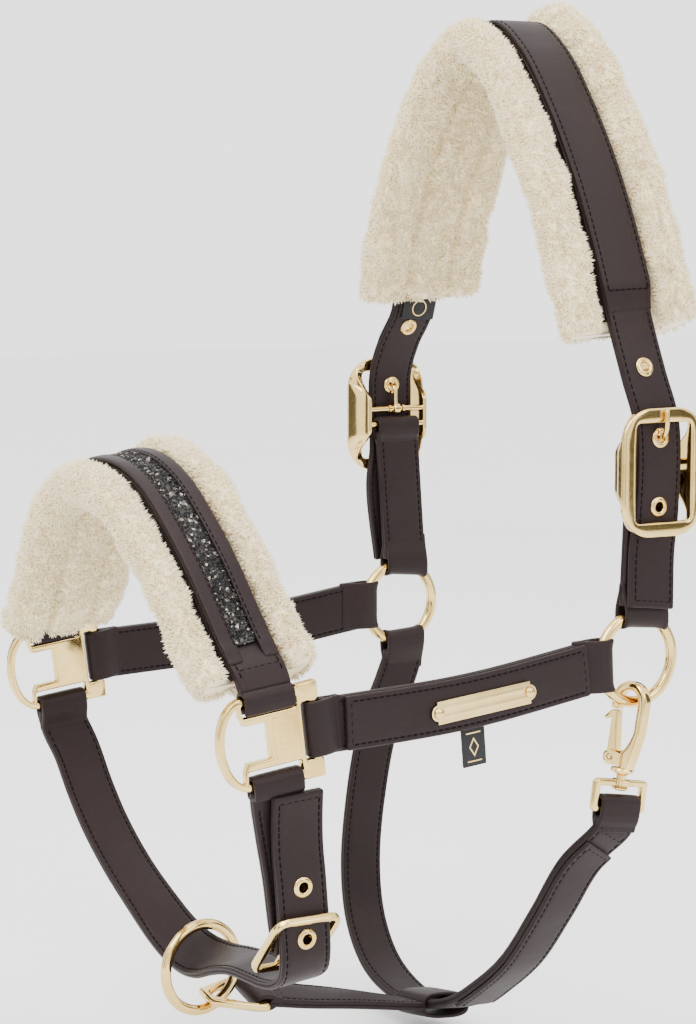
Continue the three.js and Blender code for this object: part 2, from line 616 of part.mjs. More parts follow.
// ---------- throat ----------
// From the far ring under the throat to the snap hook's eye.
const SNAP = {
  at: [RING_X, -2.2, -20.7], yaw: 16, lean: 0.16, thickness: 6.4, neck: -33, pivot: [-6.2, -27.5],
};
const EYE = { width: 31, height: 16, wire: 3.2, top: -39 };
const snapUp = new THREE.Vector3(0, SNAP.lean, 1).normalize();
function onSnap(v, u = 0) {
  return vector(SNAP.at).addScaledVector(snapUp, v).add(new THREE.Vector3(0, u, 0)).toArray();
}
const EYE_BAR = EYE.top - EYE.height + EYE.wire; // height of the eye's lower bar on the snap's axis
const EYE_FOLD = EYE.wire + 2 * GAP + 0.2;
const THROAT_ASIDE = 2.2;
const throatTop = onSnap(EYE_BAR - EYE_FOLD / 2 - LEATHER / 2);
function throatAcross({ x }) {
  return [0, 1, -0.14 * Math.exp(-(((x + 15) / 40) ** 2))];
}
const throatLine = strapLine([
  [-RING_X, THROAT_ASIDE, -RING_REACH], [-RING_X, THROAT_ASIDE, -RING_REACH - 5], [-105.5, -4, -44],
  [-102, -16, -66], [-96.5, -27, -100], [-92.5, -33, -138], [-83, -35.5, -166],
  [-66, -36.5, -185], [-42, -36.5, -194.5], [-14, -36.5, -194.5], [14, -36, -186], [40, -36, -170],
  [63, -34.5, -151], [82.5, -31, -124], [96, -24.5, -98.5],
  [throatTop[0] - 1, throatTop[1] - 1, throatTop[2] - 6], throatTop,
], throatAcross, 42);
piece('throat_strap', join(
  sweep(throatLine, flatSection(THROAT_WIDTH, STRAP)),
  ringEnd(-1, -Math.PI / 2, THROAT_WIDTH, THROAT_ASIDE),
  place(fold(THROAT_WIDTH, EYE_FOLD, EYE_FOLD, 0.8), onSnap(EYE_BAR), snapUp.toArray(), [1, 0, 0]),
), leather);
piece('throat_cover', sweep(
  throatLine.filter(({ centre }) => centre.x > 22 && centre.z < throatTop[2] - 14),
  flatSection(THROAT_WIDTH, LEATHER, 0, STRAP / 2 + GAP + LEATHER / 2),
), leather);

// ---------- chin link and back stay ----------
// A triangular loop: its narrow end hangs in the chin ring and its base bar carries the stay.
const LINK = {
  front: [0, -174.7, -166.3], back: [0, -150.2, -168], wire: 4, base: 34.4, tip: 15, roll: 0.24,
};
const LINK_UP = [LINK.roll, 0, 1];
const linkAlong = vector(LINK.back).sub(vector(LINK.front));
function linkOutline(inset) {
  const reach = linkAlong.length();
  const [tip, base] = [LINK.tip / 2 - inset, LINK.base / 2 - inset];
  const [front, back] = [inset - LINK.wire / 2, reach + LINK.wire / 2 - inset];
  const shape = new THREE.Shape();
  shape.moveTo(front + 2, -tip);
  shape.lineTo(back - 2, -base);
  shape.quadraticCurveTo(back, -base, back, 2 - base);
  shape.lineTo(back, base - 2);
  shape.quadraticCurveTo(back, base, back - 2, base);
  shape.lineTo(front + 2, tip);
  shape.quadraticCurveTo(front, tip, front, tip - 2);
  shape.lineTo(front, 2 - tip);
  shape.quadraticCurveTo(front, -tip, front + 2, -tip);
  return shape;
}
const linkShape = linkOutline(0);
linkShape.holes.push(linkOutline(LINK.wire));
const linkFlat = slab(linkShape, LINK.wire, 3).rotateX(Math.PI / 2);
piece('chin_link', place(linkFlat, LINK.front, linkAlong.toArray(), LINK_UP), gold);

const STAY_WIDTH = 24;
const THROAT_LOOP = { at: [-15, -36.5, -194.5], along: [-0.1, 0.98, -0.14], length: 26.5, height: 9 };
const LINK_WRAP = LINK.wire + 2 * GAP;
const stayStart = vector(LINK.back)
  .addScaledVector(linkAlong.clone().normalize(), LINK_WRAP / 2 + 0.75 * LEATHER);
const stayEnd = vector(THROAT_LOOP.at)
  .addScaledVector(vector(THROAT_LOOP.along), -THROAT_LOOP.length / 2 - LEATHER / 2);
const stayTilt = ({ y }) => [1, 0, -LINK.roll + 0.36 * Math.max(0, (y + 147) / 100)];
piece('back_stay', join(
  sweep(strapLine([
    stayStart.toArray(), [-1, -125, -173.5], [-5, -95, -180.5], stayEnd.toArray(),
  ], stayTilt, 14), flatSection(STAY_WIDTH, STRAP)),
  place(fold(STAY_WIDTH, LINK_WRAP, LINK_WRAP, 0.8), LINK.back, linkAlong.toArray(), LINK_UP),
  place(
    fold(STAY_WIDTH, THROAT_LOOP.length, THROAT_LOOP.height, 1.2),
    THROAT_LOOP.at, THROAT_LOOP.along, [-0.12, 0, 1],
  ),
), leather);

// ---------- snap hook ----------
// Own axes: x across the mouth, y up towards the ring's wire, z through the hook's thickness.
const snapYaw = THREE.MathUtils.degToRad(SNAP.yaw);
const snapAcross = new THREE.Vector3(Math.cos(snapYaw), Math.sin(snapYaw), 0);
snapAcross.addScaledVector(snapUp, -snapAcross.dot(snapUp)).normalize();
function onHook(geometry) {
  return place(geometry, SNAP.at, snapAcross.toArray(), snapUp.toArray());
}

// The hook runs from its neck up the right side, over the wire and down to its nose.
const hookShape = new THREE.Shape();
hookShape.moveTo(-5, SNAP.neck);
hookShape.lineTo(5, SNAP.neck);
hookShape.quadraticCurveTo(7.5, -24, 9.6, -14);
hookShape.lineTo(9.8, 0);
hookShape.absarc(0, 0, 9.8, 0, Math.PI, false);
hookShape.lineTo(-9.8, -4.2);
hookShape.lineTo(-5.6, -4.5);
hookShape.lineTo(-5.5, 0);
hookShape.absarc(0, 0, 5.5, Math.PI, 0, true);
hookShape.lineTo(5.3, -14);
hookShape.quadraticCurveTo(3.6, -20, 0.6, -23.2);
hookShape.lineTo(-1, -24.4);
hookShape.lineTo(-1, -31.2);
const PIN = 1.1;
const PLATE = 1.2; // each plate beside the gate's pin
const plateShape = new THREE.Shape();
plateShape.moveTo(0.5, -31);
plateShape.lineTo(0.5, -25);
plateShape.lineTo(SNAP.pivot[0], SNAP.pivot[1] + 3.5);
plateShape.absarc(SNAP.pivot[0], SNAP.pivot[1], 3.5, Math.PI / 2, 1.5 * Math.PI, false);
const plateOut = SNAP.thickness / 2 + PLATE / 2 - 0.4;
const pinHole = new THREE.CylinderGeometry(PIN + GAP, PIN + GAP, 20, 12).rotateX(Math.PI / 2);
pinHole.translate(SNAP.pivot[0], SNAP.pivot[1], 0);
const POST = { radius: 2.4, head: 4 };
const postEnd = EYE.top - EYE.wire / 2 - GAP;
const hookBody = cut(
  join(
    slab(hookShape, SNAP.thickness, 7),
    slab(plateShape, PLATE, 4).translate(0, 0, plateOut),
    slab(plateShape, PLATE, 4).translate(0, 0, -plateOut),
  ),
  pinHole,
);
piece('snap_hook', join(
  onHook(hookBody),
  rod(onSnap(SNAP.neck + 1), onSnap(postEnd), POST.radius, 12),
  rod(onSnap(postEnd), onSnap(postEnd - 1.6), POST.head, 12),
), gold);

// The gate closes the mouth from its pin up to the nose, with a thumb lever outside it. Its foot is
// forked around the spring.
const gateShape = new THREE.Shape();
gateShape.moveTo(-4.2, -29.4);
gateShape.lineTo(-3.6, -25.6);
gateShape.lineTo(-6.1, -5.2);
gateShape.lineTo(-9.3, -5.2);
gateShape.lineTo(-13.2, -9);
gateShape.lineTo(-12.4, -10.2);
gateShape.lineTo(-8.9, -8.4);
gateShape.lineTo(-8.9, -27.5);
gateShape.quadraticCurveTo(-8.4, -30.4, -6.2, -30.4);
const gateThickness = 2 * (plateOut - PLATE / 2 - GAP);
const springRoom = new THREE.BoxGeometry(8, 6.4, 3.2).translate(SNAP.pivot[0], SNAP.pivot[1] - 0.4, 0);
piece('snap_gate', onHook(cut(slab(gateShape, gateThickness, 5), pinHole, springRoom)), gold);

const pin = new THREE.CylinderGeometry(PIN, PIN, 2 * plateOut + PLATE, 12).rotateX(Math.PI / 2);
piece('snap_gate_pin', onHook(pin.translate(SNAP.pivot[0], SNAP.pivot[1], 0)), steel);

class Coil extends THREE.Curve {
  getPoint(t, target = new THREE.Vector3()) {
    const angle = 4 * Math.PI * t;
    const radius = PIN + GAP + 0.55;
    return target.set(radius * Math.cos(angle), radius * Math.sin(angle), 2 * (t - 0.5));
  }
}
const springWire = new THREE.Shape().absarc(0, 0, 0.4, 0, 2 * Math.PI);
const coil = new THREE.ExtrudeGeometry(springWire, {
  extrudePath: new Coil(), steps: 24, bevelEnabled: false, curveSegments: 3,
});
piece('snap_spring', onHook(coil.translate(SNAP.pivot[0], SNAP.pivot[1], 0)), steel);

// The swivel eye: a rectangular loop whose upper bar turns on the hook's post.
const eyeShape = roundedRectangle(EYE.width, EYE.height, 2.5);
eyeShape.holes.push(roundedRectangle(EYE.width - 2 * EYE.wire, EYE.height - 2 * EYE.wire, 1));
const eyeMiddle = EYE.top - EYE.height / 2 + EYE.wire / 2;
const eyeFlat = slab(eyeShape, EYE.wire + 0.4, 4).rotateX(Math.PI / 2);
const eyeLoop = place(eyeFlat, onSnap(eyeMiddle), [0, 1, -SNAP.lean], [1, 0, 0]);
const boss = rod(onSnap(EYE.top + EYE.wire / 2), onSnap(EYE.top - EYE.wire / 2), 4.4, 12);
const postHole = rod(onSnap(EYE.top + 5), onSnap(EYE.top - 5), POST.radius + GAP, 12);
piece('snap_eye', cut(join(eyeLoop, boss), postHole), gold);

// ---------- nameplate, tag and label ----------
function nameplate({ length, height, ear, thickness }) {
  const [x, y] = [length / 2, height / 2];
  const earX = RIVET.spacing / 2;
  const corner = Math.acos((x - earX) / ear);
  const shape = new THREE.Shape();
  shape.moveTo(-x, -y);
  shape.lineTo(x, -y);
  shape.absarc(earX, 0, ear, -corner, corner, false);
  shape.lineTo(x, y);
  shape.lineTo(-x, y);
  shape.absarc(-earX, 0, ear, Math.PI - corner, Math.PI + corner, false);
  for (const end of [-1, 1]) {
    shape.holes.push(new THREE.Path().absarc(end * earX, 0, RIVET.shank + GAP, 0, 2 * Math.PI, true));
  }
  return slab(shape, thickness, 5).rotateX(Math.PI / 2);
}
const plateAt = onNameplate(cheekLines.near, 0, NAMEPLATE.thickness / 2);
piece('nameplate', place(nameplate(NAMEPLATE), plateAt.centre, plateAt.across, plateAt.outward), gold);

const rivetProfile = [
  [0, -LEATHER - GAP], [RIVET.shank, -LEATHER - GAP], [RIVET.shank, NAMEPLATE.thickness + GAP],
  [RIVET.head, NAMEPLATE.thickness + GAP], [RIVET.head * 0.8, NAMEPLATE.thickness + GAP + 0.7 * RIVET.dome],
  [0, NAMEPLATE.thickness + GAP + RIVET.dome],
].map(([r, h]) => new THREE.Vector2(r, h));
for (const [name, along] of Object.entries(RIVET_ENDS)) {
  const { centre, across, outward } = onNameplate(cheekLines.near, along, 0);
  const rivet = new THREE.LatheGeometry(rivetProfile, 12);
  piece(`nameplate_rivet_${name}`, place(rivet, centre, across, outward), gold);
}

const TAG = { y: -97, width: 13, length: 18, thickness: 0.9 };
const tagAt = onCheek(cheekLines.near, TAG.y, 0, -CHEEK_WIDTH / 2 - GAP - TAG.length / 2);
piece('woven_tag', place(
  new THREE.BoxGeometry(TAG.width, TAG.thickness, TAG.length), tagAt.centre, tagAt.across, tagAt.outward,
), woven);

// A label under the far end of the crown lining, on the inner face of the strap.
const LABEL = { height: 160.6, width: 20, length: 12.4, thickness: 0.7, aside: 2.2 };
const labelAt = atHeight(crownLine, LABEL.height, -1);
const labelCentre = vector(labelAt.centre)
  .addScaledVector(vector(labelAt.outward), -BILLET / 2 - GAP - LABEL.thickness / 2)
  .addScaledVector(vector(labelAt.across), LABEL.aside);
piece('crown_label', place(
  new THREE.BoxGeometry(LABEL.width, LABEL.thickness, LABEL.length),
  labelCentre.toArray(), labelAt.across, labelAt.outward,
), woven);

export default model;
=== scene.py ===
import math

import bmesh
import bpy
import numpy as np
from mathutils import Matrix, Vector, noise
from mathutils.geometry import tessellate_polygon


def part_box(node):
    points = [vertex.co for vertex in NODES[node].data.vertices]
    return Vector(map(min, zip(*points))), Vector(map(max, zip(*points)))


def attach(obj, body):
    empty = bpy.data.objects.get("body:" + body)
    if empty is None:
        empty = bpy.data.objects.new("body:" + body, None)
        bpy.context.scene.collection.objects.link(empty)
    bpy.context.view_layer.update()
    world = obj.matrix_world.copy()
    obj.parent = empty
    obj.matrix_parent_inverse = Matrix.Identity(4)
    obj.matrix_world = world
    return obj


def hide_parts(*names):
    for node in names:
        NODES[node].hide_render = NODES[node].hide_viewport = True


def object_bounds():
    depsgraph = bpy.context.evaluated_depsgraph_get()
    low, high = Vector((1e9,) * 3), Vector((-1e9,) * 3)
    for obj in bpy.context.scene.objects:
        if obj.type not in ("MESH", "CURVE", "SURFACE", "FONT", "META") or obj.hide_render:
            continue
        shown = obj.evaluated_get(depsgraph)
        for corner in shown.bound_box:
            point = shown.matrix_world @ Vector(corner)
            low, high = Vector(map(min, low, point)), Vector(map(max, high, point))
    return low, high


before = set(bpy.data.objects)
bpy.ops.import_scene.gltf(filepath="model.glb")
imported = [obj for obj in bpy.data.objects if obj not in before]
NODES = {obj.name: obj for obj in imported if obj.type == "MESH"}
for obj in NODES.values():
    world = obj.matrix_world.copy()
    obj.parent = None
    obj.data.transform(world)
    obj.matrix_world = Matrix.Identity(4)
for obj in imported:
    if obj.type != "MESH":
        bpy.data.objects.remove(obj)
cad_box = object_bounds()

POLL_ABOVE_RINGS = 282.0
GAP = 0.3  # between pieces that lie on each other
LEATHER = 2.2  # one layer
STRAP = 2 * LEATHER  # a strap's two layers
BILLET = 4.0  # a strap that passes a buckle
BACKING = 1.2
WIDTH = 25
ON_STRAP = STRAP / 2 + GAP
noise.seed_set(1)


def metres(points):
    points = np.asarray(points, float).copy()
    points[..., 2] -= POLL_ABOVE_RINGS
    return points * 0.001


def unit(v):
    v = np.asarray(v, float)
    return v / np.linalg.norm(v)


def units(vectors):
    return vectors / np.linalg.norm(vectors, axis=1)[:, None]


def lengths(points):
    """How far along a path of points each one lies."""
    return np.concatenate([[0], np.cumsum(np.linalg.norm(np.diff(points, axis=0), axis=1))])


def interpolated(s, at, values):
    return np.stack([np.interp(s, at, column) for column in values.T], axis=-1)


def ease(t):
    return t * t * (3 - 2 * t)


def placed(name, data):
    obj = bpy.data.objects.new(name, data)
    bpy.context.scene.collection.objects.link(obj)
    return obj


def bearing(azimuth, elevation):
    """The way out from the object in degrees: an azimuth of 0 is its front, 90 its near side."""
    a, e = math.radians(azimuth), math.radians(elevation)
    return Vector((math.sin(a) * math.cos(e), -math.cos(a) * math.cos(e), math.sin(e)))


# ---------- camera ----------
def make_camera():
    data = bpy.data.cameras.new("camera")
    data.lens = 93.4
    data.sensor_width = 36
    data.sensor_height = 36
    data.sensor_fit = "VERTICAL"
    data.clip_start = 0.05
    camera = placed("camera", data)
    camera.location = (1.1098, -0.7547, -0.0698)
    camera.rotation_euler = bearing(59.3, 6.5).to_track_quat("Z", "Y").to_euler()
    bpy.context.scene.camera = camera


make_camera()


# ---------- materials ----------
def new_material(name):
    material = bpy.data.materials.new(name)
    material.use_nodes = True
    tree = material.node_tree
    shader = tree.nodes["Principled BSDF"]
    place = tree.nodes.new("ShaderNodeTexCoord").outputs["Object"]
    return material, tree, shader, place


def set_inputs(tree, node, inputs):
    """Links each input from a socket, or gives it a plain value."""
    for key, value in inputs.items():
        if isinstance(value, bpy.types.NodeSocket):
            tree.links.new(value, node.inputs[key])
        else:
            node.inputs[key].default_value = value


def add(tree, kind, inputs, **settings):
    node = tree.nodes.new(kind)
    for key, value in settings.items():
        setattr(node, key, value)
    set_inputs(tree, node, inputs)
    return node


def ramp(tree, factor, *stops):
    node = add(tree, "ShaderNodeValToRGB", {"Fac": factor})
    elements = node.color_ramp.elements
    while len(elements) < len(stops):
        elements.new(0.5)
    for element, (at, colour) in zip(elements, stops):
        element.position = at
        element.color = (*colour, 1)
    return node.outputs["Color"]


def noise_texture(tree, place, scale, detail=3, rough=0.5):
    inputs = {"Vector": place, "Scale": scale, "Detail": detail, "Roughness": rough}
    return add(tree, "ShaderNodeTexNoise", inputs).outputs["Fac"]


def bump(tree, height, distance, strength=1.0, normal=None):
    inputs = {"Height": height, "Distance": distance, "Strength": strength}
    if normal is not None:
        inputs["Normal"] = normal
    return add(tree, "ShaderNodeBump", inputs).outputs["Normal"]


def spread(tree, factor, low, high):
    inputs = {"Value": factor, "To Min": low, "To Max": high}
    return add(tree, "ShaderNodeMapRange", inputs).outputs[0]


def calculate(tree, operation, first, second):
    return add(tree, "ShaderNodeMath", {0: first, 1: second}, operation=operation).outputs[0]


def leather_material(name, dark, light, rough=(0.42, 0.6)):
    material, tree, shader, place = new_material(name)
    broad = noise_texture(tree, place, 28, 4, 0.6)
    fine = noise_texture(tree, place, 900, 3, 0.6)
    mottled = calculate(tree, "MULTIPLY", calculate(tree, "ADD", broad, fine), 0.5)
    cells = add(tree, "ShaderNodeTexVoronoi", {"Vector": place, "Scale": 1500.0}, feature="SMOOTH_F1")
    normal = bump(tree, cells.outputs["Distance"], 0.00008, 0.5)
    normal = bump(tree, fine, 0.0001, 0.35, normal)
    set_inputs(tree, shader, {
        "Base Color": ramp(tree, mottled, (0.36, dark), (0.66, light)),
        "Normal": bump(tree, noise_texture(tree, place, 110, 3, 0.5), 0.0009, 0.22, normal),
        "Roughness": spread(tree, broad, *rough),
        "Specular IOR Level": 0.24,
        "Specular Tint": (1.0, 0.80, 0.80, 1),
        "Sheen Weight": 0.04,
        "Sheen Roughness": 0.45,
        "Sheen Tint": (0.8, 0.7, 0.68, 1),
    })
    return material


def metal_material(name, dark, light, rough):
    material, tree, shader, place = new_material(name)
    broad = noise_texture(tree, place, 60, 3, 0.5)
    scuffs = noise_texture(tree, place, 700, 4, 0.7)
    normal = bump(tree, noise_texture(tree, place, 90, 2, 0.5), 0.0006, 0.12)
    set_inputs(tree, shader, {
        "Base Color": ramp(tree, broad, (0.35, dark), (0.65, light)),
        "Roughness": spread(tree, scuffs, *rough),
        "Normal": bump(tree, scuffs, 0.00004, 0.25, normal),
        "Metallic": 1,
    })
    return material


def pile_material(name, first, second, third, depth):
    material, tree, shader, place = new_material(name)
    tufts = noise_texture(tree, place, 160, 4, 0.65)
    fibre = noise_texture(tree, place, 1100, 4, 0.75)
    set_inputs(tree, shader, {
        "Base Color": ramp(tree, tufts, (0.3, first), (0.5, second), (0.7, third)),
        "Normal": bump(tree, tufts, 0.0015, 0.2, bump(tree, fibre, 0.0004, 0.3)),
        "Roughness": spread(tree, fibre, 0.85, 1.0),
        "Specular IOR Level": 0.1,
        "Sheen Weight": 0.6,
        "Sheen Roughness": 0.6,
        "Sheen Tint": (1.0, 0.96, 0.88, 1),
        "Subsurface Weight": depth,
        "Subsurface Radius": (0.008, 0.0062, 0.0042),
        "Subsurface Scale": 1.0,
    })
    return material


def thread_material():
    material, tree, shader, place = new_material("sewing_thread")
    twist = noise_texture(tree, place, 1600, 2, 0.6)
    set_inputs(tree, shader, {
        "Base Color": ramp(tree, twist, (0.35, (0.0018, 0.0011, 0.0012)), (0.7, (0.006, 0.004, 0.004))),
        "Normal": bump(tree, twist, 0.0002, 0.6),
        "Roughness": 0.8,
        "Specular IOR Level": 0.08,
    })
    return material


def woven_material():
    material, tree, shader, place = new_material("woven_label")
    threads = []
    for scale, way in ((700.0, "Z"), (560.0, "Y")):
        inputs = {"Vector": place, "Scale": scale, "Distortion": 0.6}
        threads.append(add(tree, "ShaderNodeTexWave", inputs, bands_direction=way).outputs["Fac"])
    weave = calculate(tree, "MULTIPLY", *threads)
    set_inputs(tree, shader, {
        "Base Color": ramp(tree, weave, (0.0, (0.006, 0.006, 0.007)), (1.0, (0.03, 0.028, 0.03))),
        "Normal": bump(tree, weave, 0.0003, 0.7),
        "Roughness": 0.85,
    })
    return material


def glitter_material():
    material, tree, shader, place = new_material("dark_crystal")
    cells = add(tree, "ShaderNodeTexVoronoi", {"Vector": place, "Scale": 900.0})
    tint = add(tree, "ShaderNodeSeparateColor", {"Color": cells.outputs["Color"]}).outputs[0]
    set_inputs(tree, shader, {
        "Base Color": ramp(
            tree, tint, (0.0, (0.004, 0.004, 0.005)), (0.7, (0.016, 0.014, 0.013)), (0.9, (0.07, 0.06, 0.05)),
            (1.0, (0.6, 0.55, 0.48)),
        ),
        "Roughness": spread(tree, tint, 0.1, 0.3),
        "Metallic": 0.55,
    })
    return material


LEATHER_LOOK = leather_material("aubergine_leather", (0.0046, 0.0023, 0.0025), (0.0104, 0.0056, 0.0060))
INNER_LOOK = leather_material("lining_leather", (0.009, 0.0056, 0.0055), (0.018, 0.012, 0.0115), (0.6, 0.75))
GOLD = metal_material("champagne_gold", (0.72, 0.50, 0.17), (0.84, 0.61, 0.24), (0.07, 0.15))
PALE_GOLD = metal_material("pale_gold", (0.76, 0.55, 0.22), (0.84, 0.64, 0.29), (0.22, 0.34))
STEEL = metal_material("spring_steel", (0.40, 0.38, 0.35), (0.55, 0.52, 0.48), (0.25, 0.4))
PILE = pile_material("lambskin_pile", (0.93, 0.74, 0.42), (0.96, 0.80, 0.50), (0.97, 0.85, 0.58), 0.3)
LOCKS = pile_material("lambskin_locks", (0.96, 0.79, 0.46), (0.975, 0.83, 0.53), (0.985, 0.87, 0.60), 0.0)
THREAD = thread_material()
WOVEN = woven_material()
CRYSTAL = glitter_material()


# ---------- meshes ----------
def clean(mesh, merge=0.0):
    """Merges points nearer than `merge` and turns the faces outward."""
    work = bmesh.new()
    work.from_mesh(mesh)
    if merge:
        bmesh.ops.remove_doubles(work, verts=work.verts, dist=merge)
    bmesh.ops.recalc_face_normals(work, faces=work.faces)
    work.to_mesh(mesh)
    work.free()


def solid(name, points, faces, material, body="root", nodes=(), crease=38):
    """A visible piece on its body. Edges sharper than `crease` stay sharp, and none do with 0."""
    mesh = bpy.data.meshes.new(name)
    mesh.from_pydata(metres(points).tolist(), [], faces)
    clean(mesh)
    mesh.materials.append(material)
    mesh.shade_smooth()
    if crease:
        mesh.set_sharp_from_angle(angle=math.radians(crease))
    obj = placed(name, mesh)
    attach(obj, body)
    if nodes:
        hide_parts(*nodes)
    return obj


def metal(node, parts, body="root", crease=40, look=GOLD):
    """A metal piece made of several shapes, in place of its CAD node."""
    points, faces = gather(parts)
    solid(node + "_metal", points, faces, look, body, [node], crease)


def gather(parts):
    """Several (points, faces) as one."""
    points, faces, count = [], [], 0
    for part, cells in parts:
        points.append(np.asarray(part, float))
        faces += [[i + count for i in cell] for cell in cells]
        count += len(part)
    return np.concatenate(points), faces


def copies(cells, step, number):
    """The faces of many equal small shapes, `step` points each."""
    return [[i + step * n for i in cell] for n in range(number) for cell in cells]


def grid(rings, closed=True, caps=True):
    """Faces through equal rings of points, with flat caps."""
    count = len(rings[0])
    faces = []
    last = len(rings) if not closed else len(rings) + 1
    for i in range(last - 1):
        a, b = i * count, ((i + 1) % len(rings)) * count
        faces += [[a + k, b + k, b + (k + 1) % count, a + (k + 1) % count] for k in range(count)]
    if not closed and caps:
        faces.append(list(range(count)))
        faces.append([(len(rings) - 1) * count + k for k in reversed(range(count))])
    return np.concatenate(rings), faces


# ---------- strap lines ----------
class Line:
    """Evenly spaced places along a smooth curve, with the way its width runs and its outer face looks."""

    def __init__(self, centre, across):
        self.centre = centre
        self.tangent = units(np.gradient(centre, axis=0))
        side = np.array([across(c) if callable(across) else across for c in centre], float)
        side -= (side * self.tangent).sum(1)[:, None] * self.tangent
        self.side = units(side)
        self.out = np.cross(self.side, self.tangent)
        self.at = lengths(centre)

    def place(self, i, u, v):
        return self.centre[i] + np.multiply.outer(u, self.side[i]) + np.multiply.outer(v, self.out[i])

    def cut(self, keep):
        """The stretch whose centres pass a test."""
        kept = np.array([bool(keep(c)) for c in self.centre])
        part = object.__new__(Line)
        for key, value in vars(self).items():
            setattr(part, key, value[kept])
        part.at = part.at - part.at[0]
        return part

    def sample(self, s, values):
        return interpolated(s, self.at, values)

    def frames(self, s):
        """Centre, tangent, side and out at lengths along the line."""
        return [self.sample(s, values) for values in (self.centre, self.tangent, self.side, self.out)]


def spline(points, spacing):
    """Centripetal Catmull-Rom through the points, evenly spaced."""
    p = np.asarray(points, float)
    p = np.vstack([2 * p[0] - p[1], p, 2 * p[-1] - p[-2]])
    dense = []
    for i in range(1, len(p) - 2):
        a, b, c, d = p[i - 1:i + 3]
        t = [max(np.linalg.norm(q - r), 1e-6) ** 0.5 for q, r in ((b, a), (c, b), (d, c))]
        m1 = ((b - a) / t[0] - (c - a) / (t[0] + t[1]) + (c - b) / t[1]) * t[1]
        m2 = ((c - b) / t[1] - (d - b) / (t[1] + t[2]) + (d - c) / t[2]) * t[1]
        s = np.linspace(0, 1, 60, endpoint=i == len(p) - 3)[:, None]
        dense.append(
            (2 * b - 2 * c + m1 + m2) * s ** 3 + (-3 * b + 3 * c - 2 * m1 - m2) * s ** 2 + m1 * s + b
        )
    dense = np.vstack(dense)
    at = lengths(dense)
    count = max(int(round(at[-1] / spacing)), 2)
    return interpolated(np.linspace(0, at[-1], count + 1), at, dense)


def line(points, across):
    return Line(spline(points, 1.6), across)


SEAM = 2.4  # stitching from the edge


def strap_section(width, thickness, seams=True):
    """Rounded strap: pressed down along the seams, with a parting line between its two layers."""
    half, top = width / 2, thickness / 2
    dip = 0.22 if seams else 0.03
    edge = [
        (SEAM + 2.2, 0.10), (SEAM + 0.9, 0.02), (SEAM, -dip), (SEAM - 0.9, 0.0), (0.8, -0.06), (0.3, -0.26),
        (0.0, -0.7),
    ]
    if thickness > 3:
        edge += [(0.05, 0.45 - top), (0.42, 0.12 - top)]
    quarter = [(half - inset, top + drop) for inset, drop in edge]
    quarter = [(u, v) for u, v in quarter if v > 0] + [(half - (0.5 if thickness > 3 else 0), 0)]
    right = [(u, -v) for u, v in quarter] + [(u, v) for u, v in reversed(quarter[:-1])]
    return np.array(right + [(-u, -v) for u, v in right])


def sweep(path, section, above=0.0, aside=0.0, soften=0.9, sink=None):
    """A closed bar along a line, its ends rounded off.

    `sink` lets its ends into the strap below: over what length, how deep, and by what share they narrow.
    """
    rings = []
    size = np.abs(section).max(0)
    total = path.at[-1]
    for i, s in enumerate(path.at):
        near = min(s, total - s)
        shrink = soften * (1 - math.sqrt(max(0.0, 1 - (1 - min(near / soften, 1)) ** 2)))
        scale = (size - shrink * 0.8) / size
        lower, narrow = 0.0, 1.0
        if sink:
            t = min(near / sink[0], 1)
            lower = sink[1] * (1 - ease(t))
            narrow = 1 - sink[2] * (1 - t)
        u, v = section[:, 0] * scale[0] * narrow + aside, section[:, 1] * scale[1] + above - lower
        rings.append(path.place(i, u, v))
    return grid(rings, closed=False)


def refine_ends(path, soften=0.9):
    """Extra places near both ends, for their rounding."""
    total = path.at[-1]
    extra = [0.12 * soften, 0.4 * soften, soften]
    s = np.unique(np.concatenate([path.at, extra, total - np.array(extra)]))
    part = object.__new__(Line)
    part.centre, part.tangent, part.side, part.out = path.frames(s)
    part.at = s
    return part


STITCH = {"pitch": 3.3, "length": 2.4, "radius": 0.4}


def stitches(places):
    """Thread bars at (centre, direction, across, outward) places."""
    stations = np.array([-0.5, -0.42, 0, 0.42, 0.5]) * STITCH["length"]
    girth = np.array([0.45, 0.85, 1.0, 0.85, 0.45]) * STITCH["radius"]
    turn = np.arange(6) / 6 * 2 * math.pi
    local = np.array([
        (x, r * math.cos(a), r * 0.8 * math.sin(a)) for x, r in zip(stations, girth) for a in turn
    ])
    cells = grid([local[k * 6:k * 6 + 6] for k in range(5)], closed=False)[1]
    centres, *axes = (np.array([p[k] for p in places], float) for k in range(4))
    basis = np.stack(axes, axis=1)
    points = centres[:, None] + np.einsum("pk,nkc->npc", local, basis)
    return points.reshape(-1, 3), copies(cells, len(local), len(centres))


def seam(path, u, v, start=3.0, end=3.0):
    """A row of stitches along a line at one place of its section."""
    total = path.at[-1]
    count = int((total - start - end) / STITCH["pitch"])
    at = start + (np.arange(count) + 0.5) * (total - start - end) / max(count, 1)
    centre, tangent, side, out = path.frames(at)
    return list(zip(centre + side * u + out * v, tangent, side, out))


def cross_seam(path, s, half, v):
    """A row of stitches across a line."""
    count = int(2 * half / STITCH["pitch"])
    centre, tangent, side, out = path.frames(s)
    spots = [centre + side * ((k + 0.5) / count * 2 - 1) * half + out * v for k in range(count)]
    return [(spot, side, -tangent, out) for spot in spots]


def sew(name, rows):
    points, faces = stitches(rows)
    solid(name + "_thread", points, faces, THREAD, crease=0)


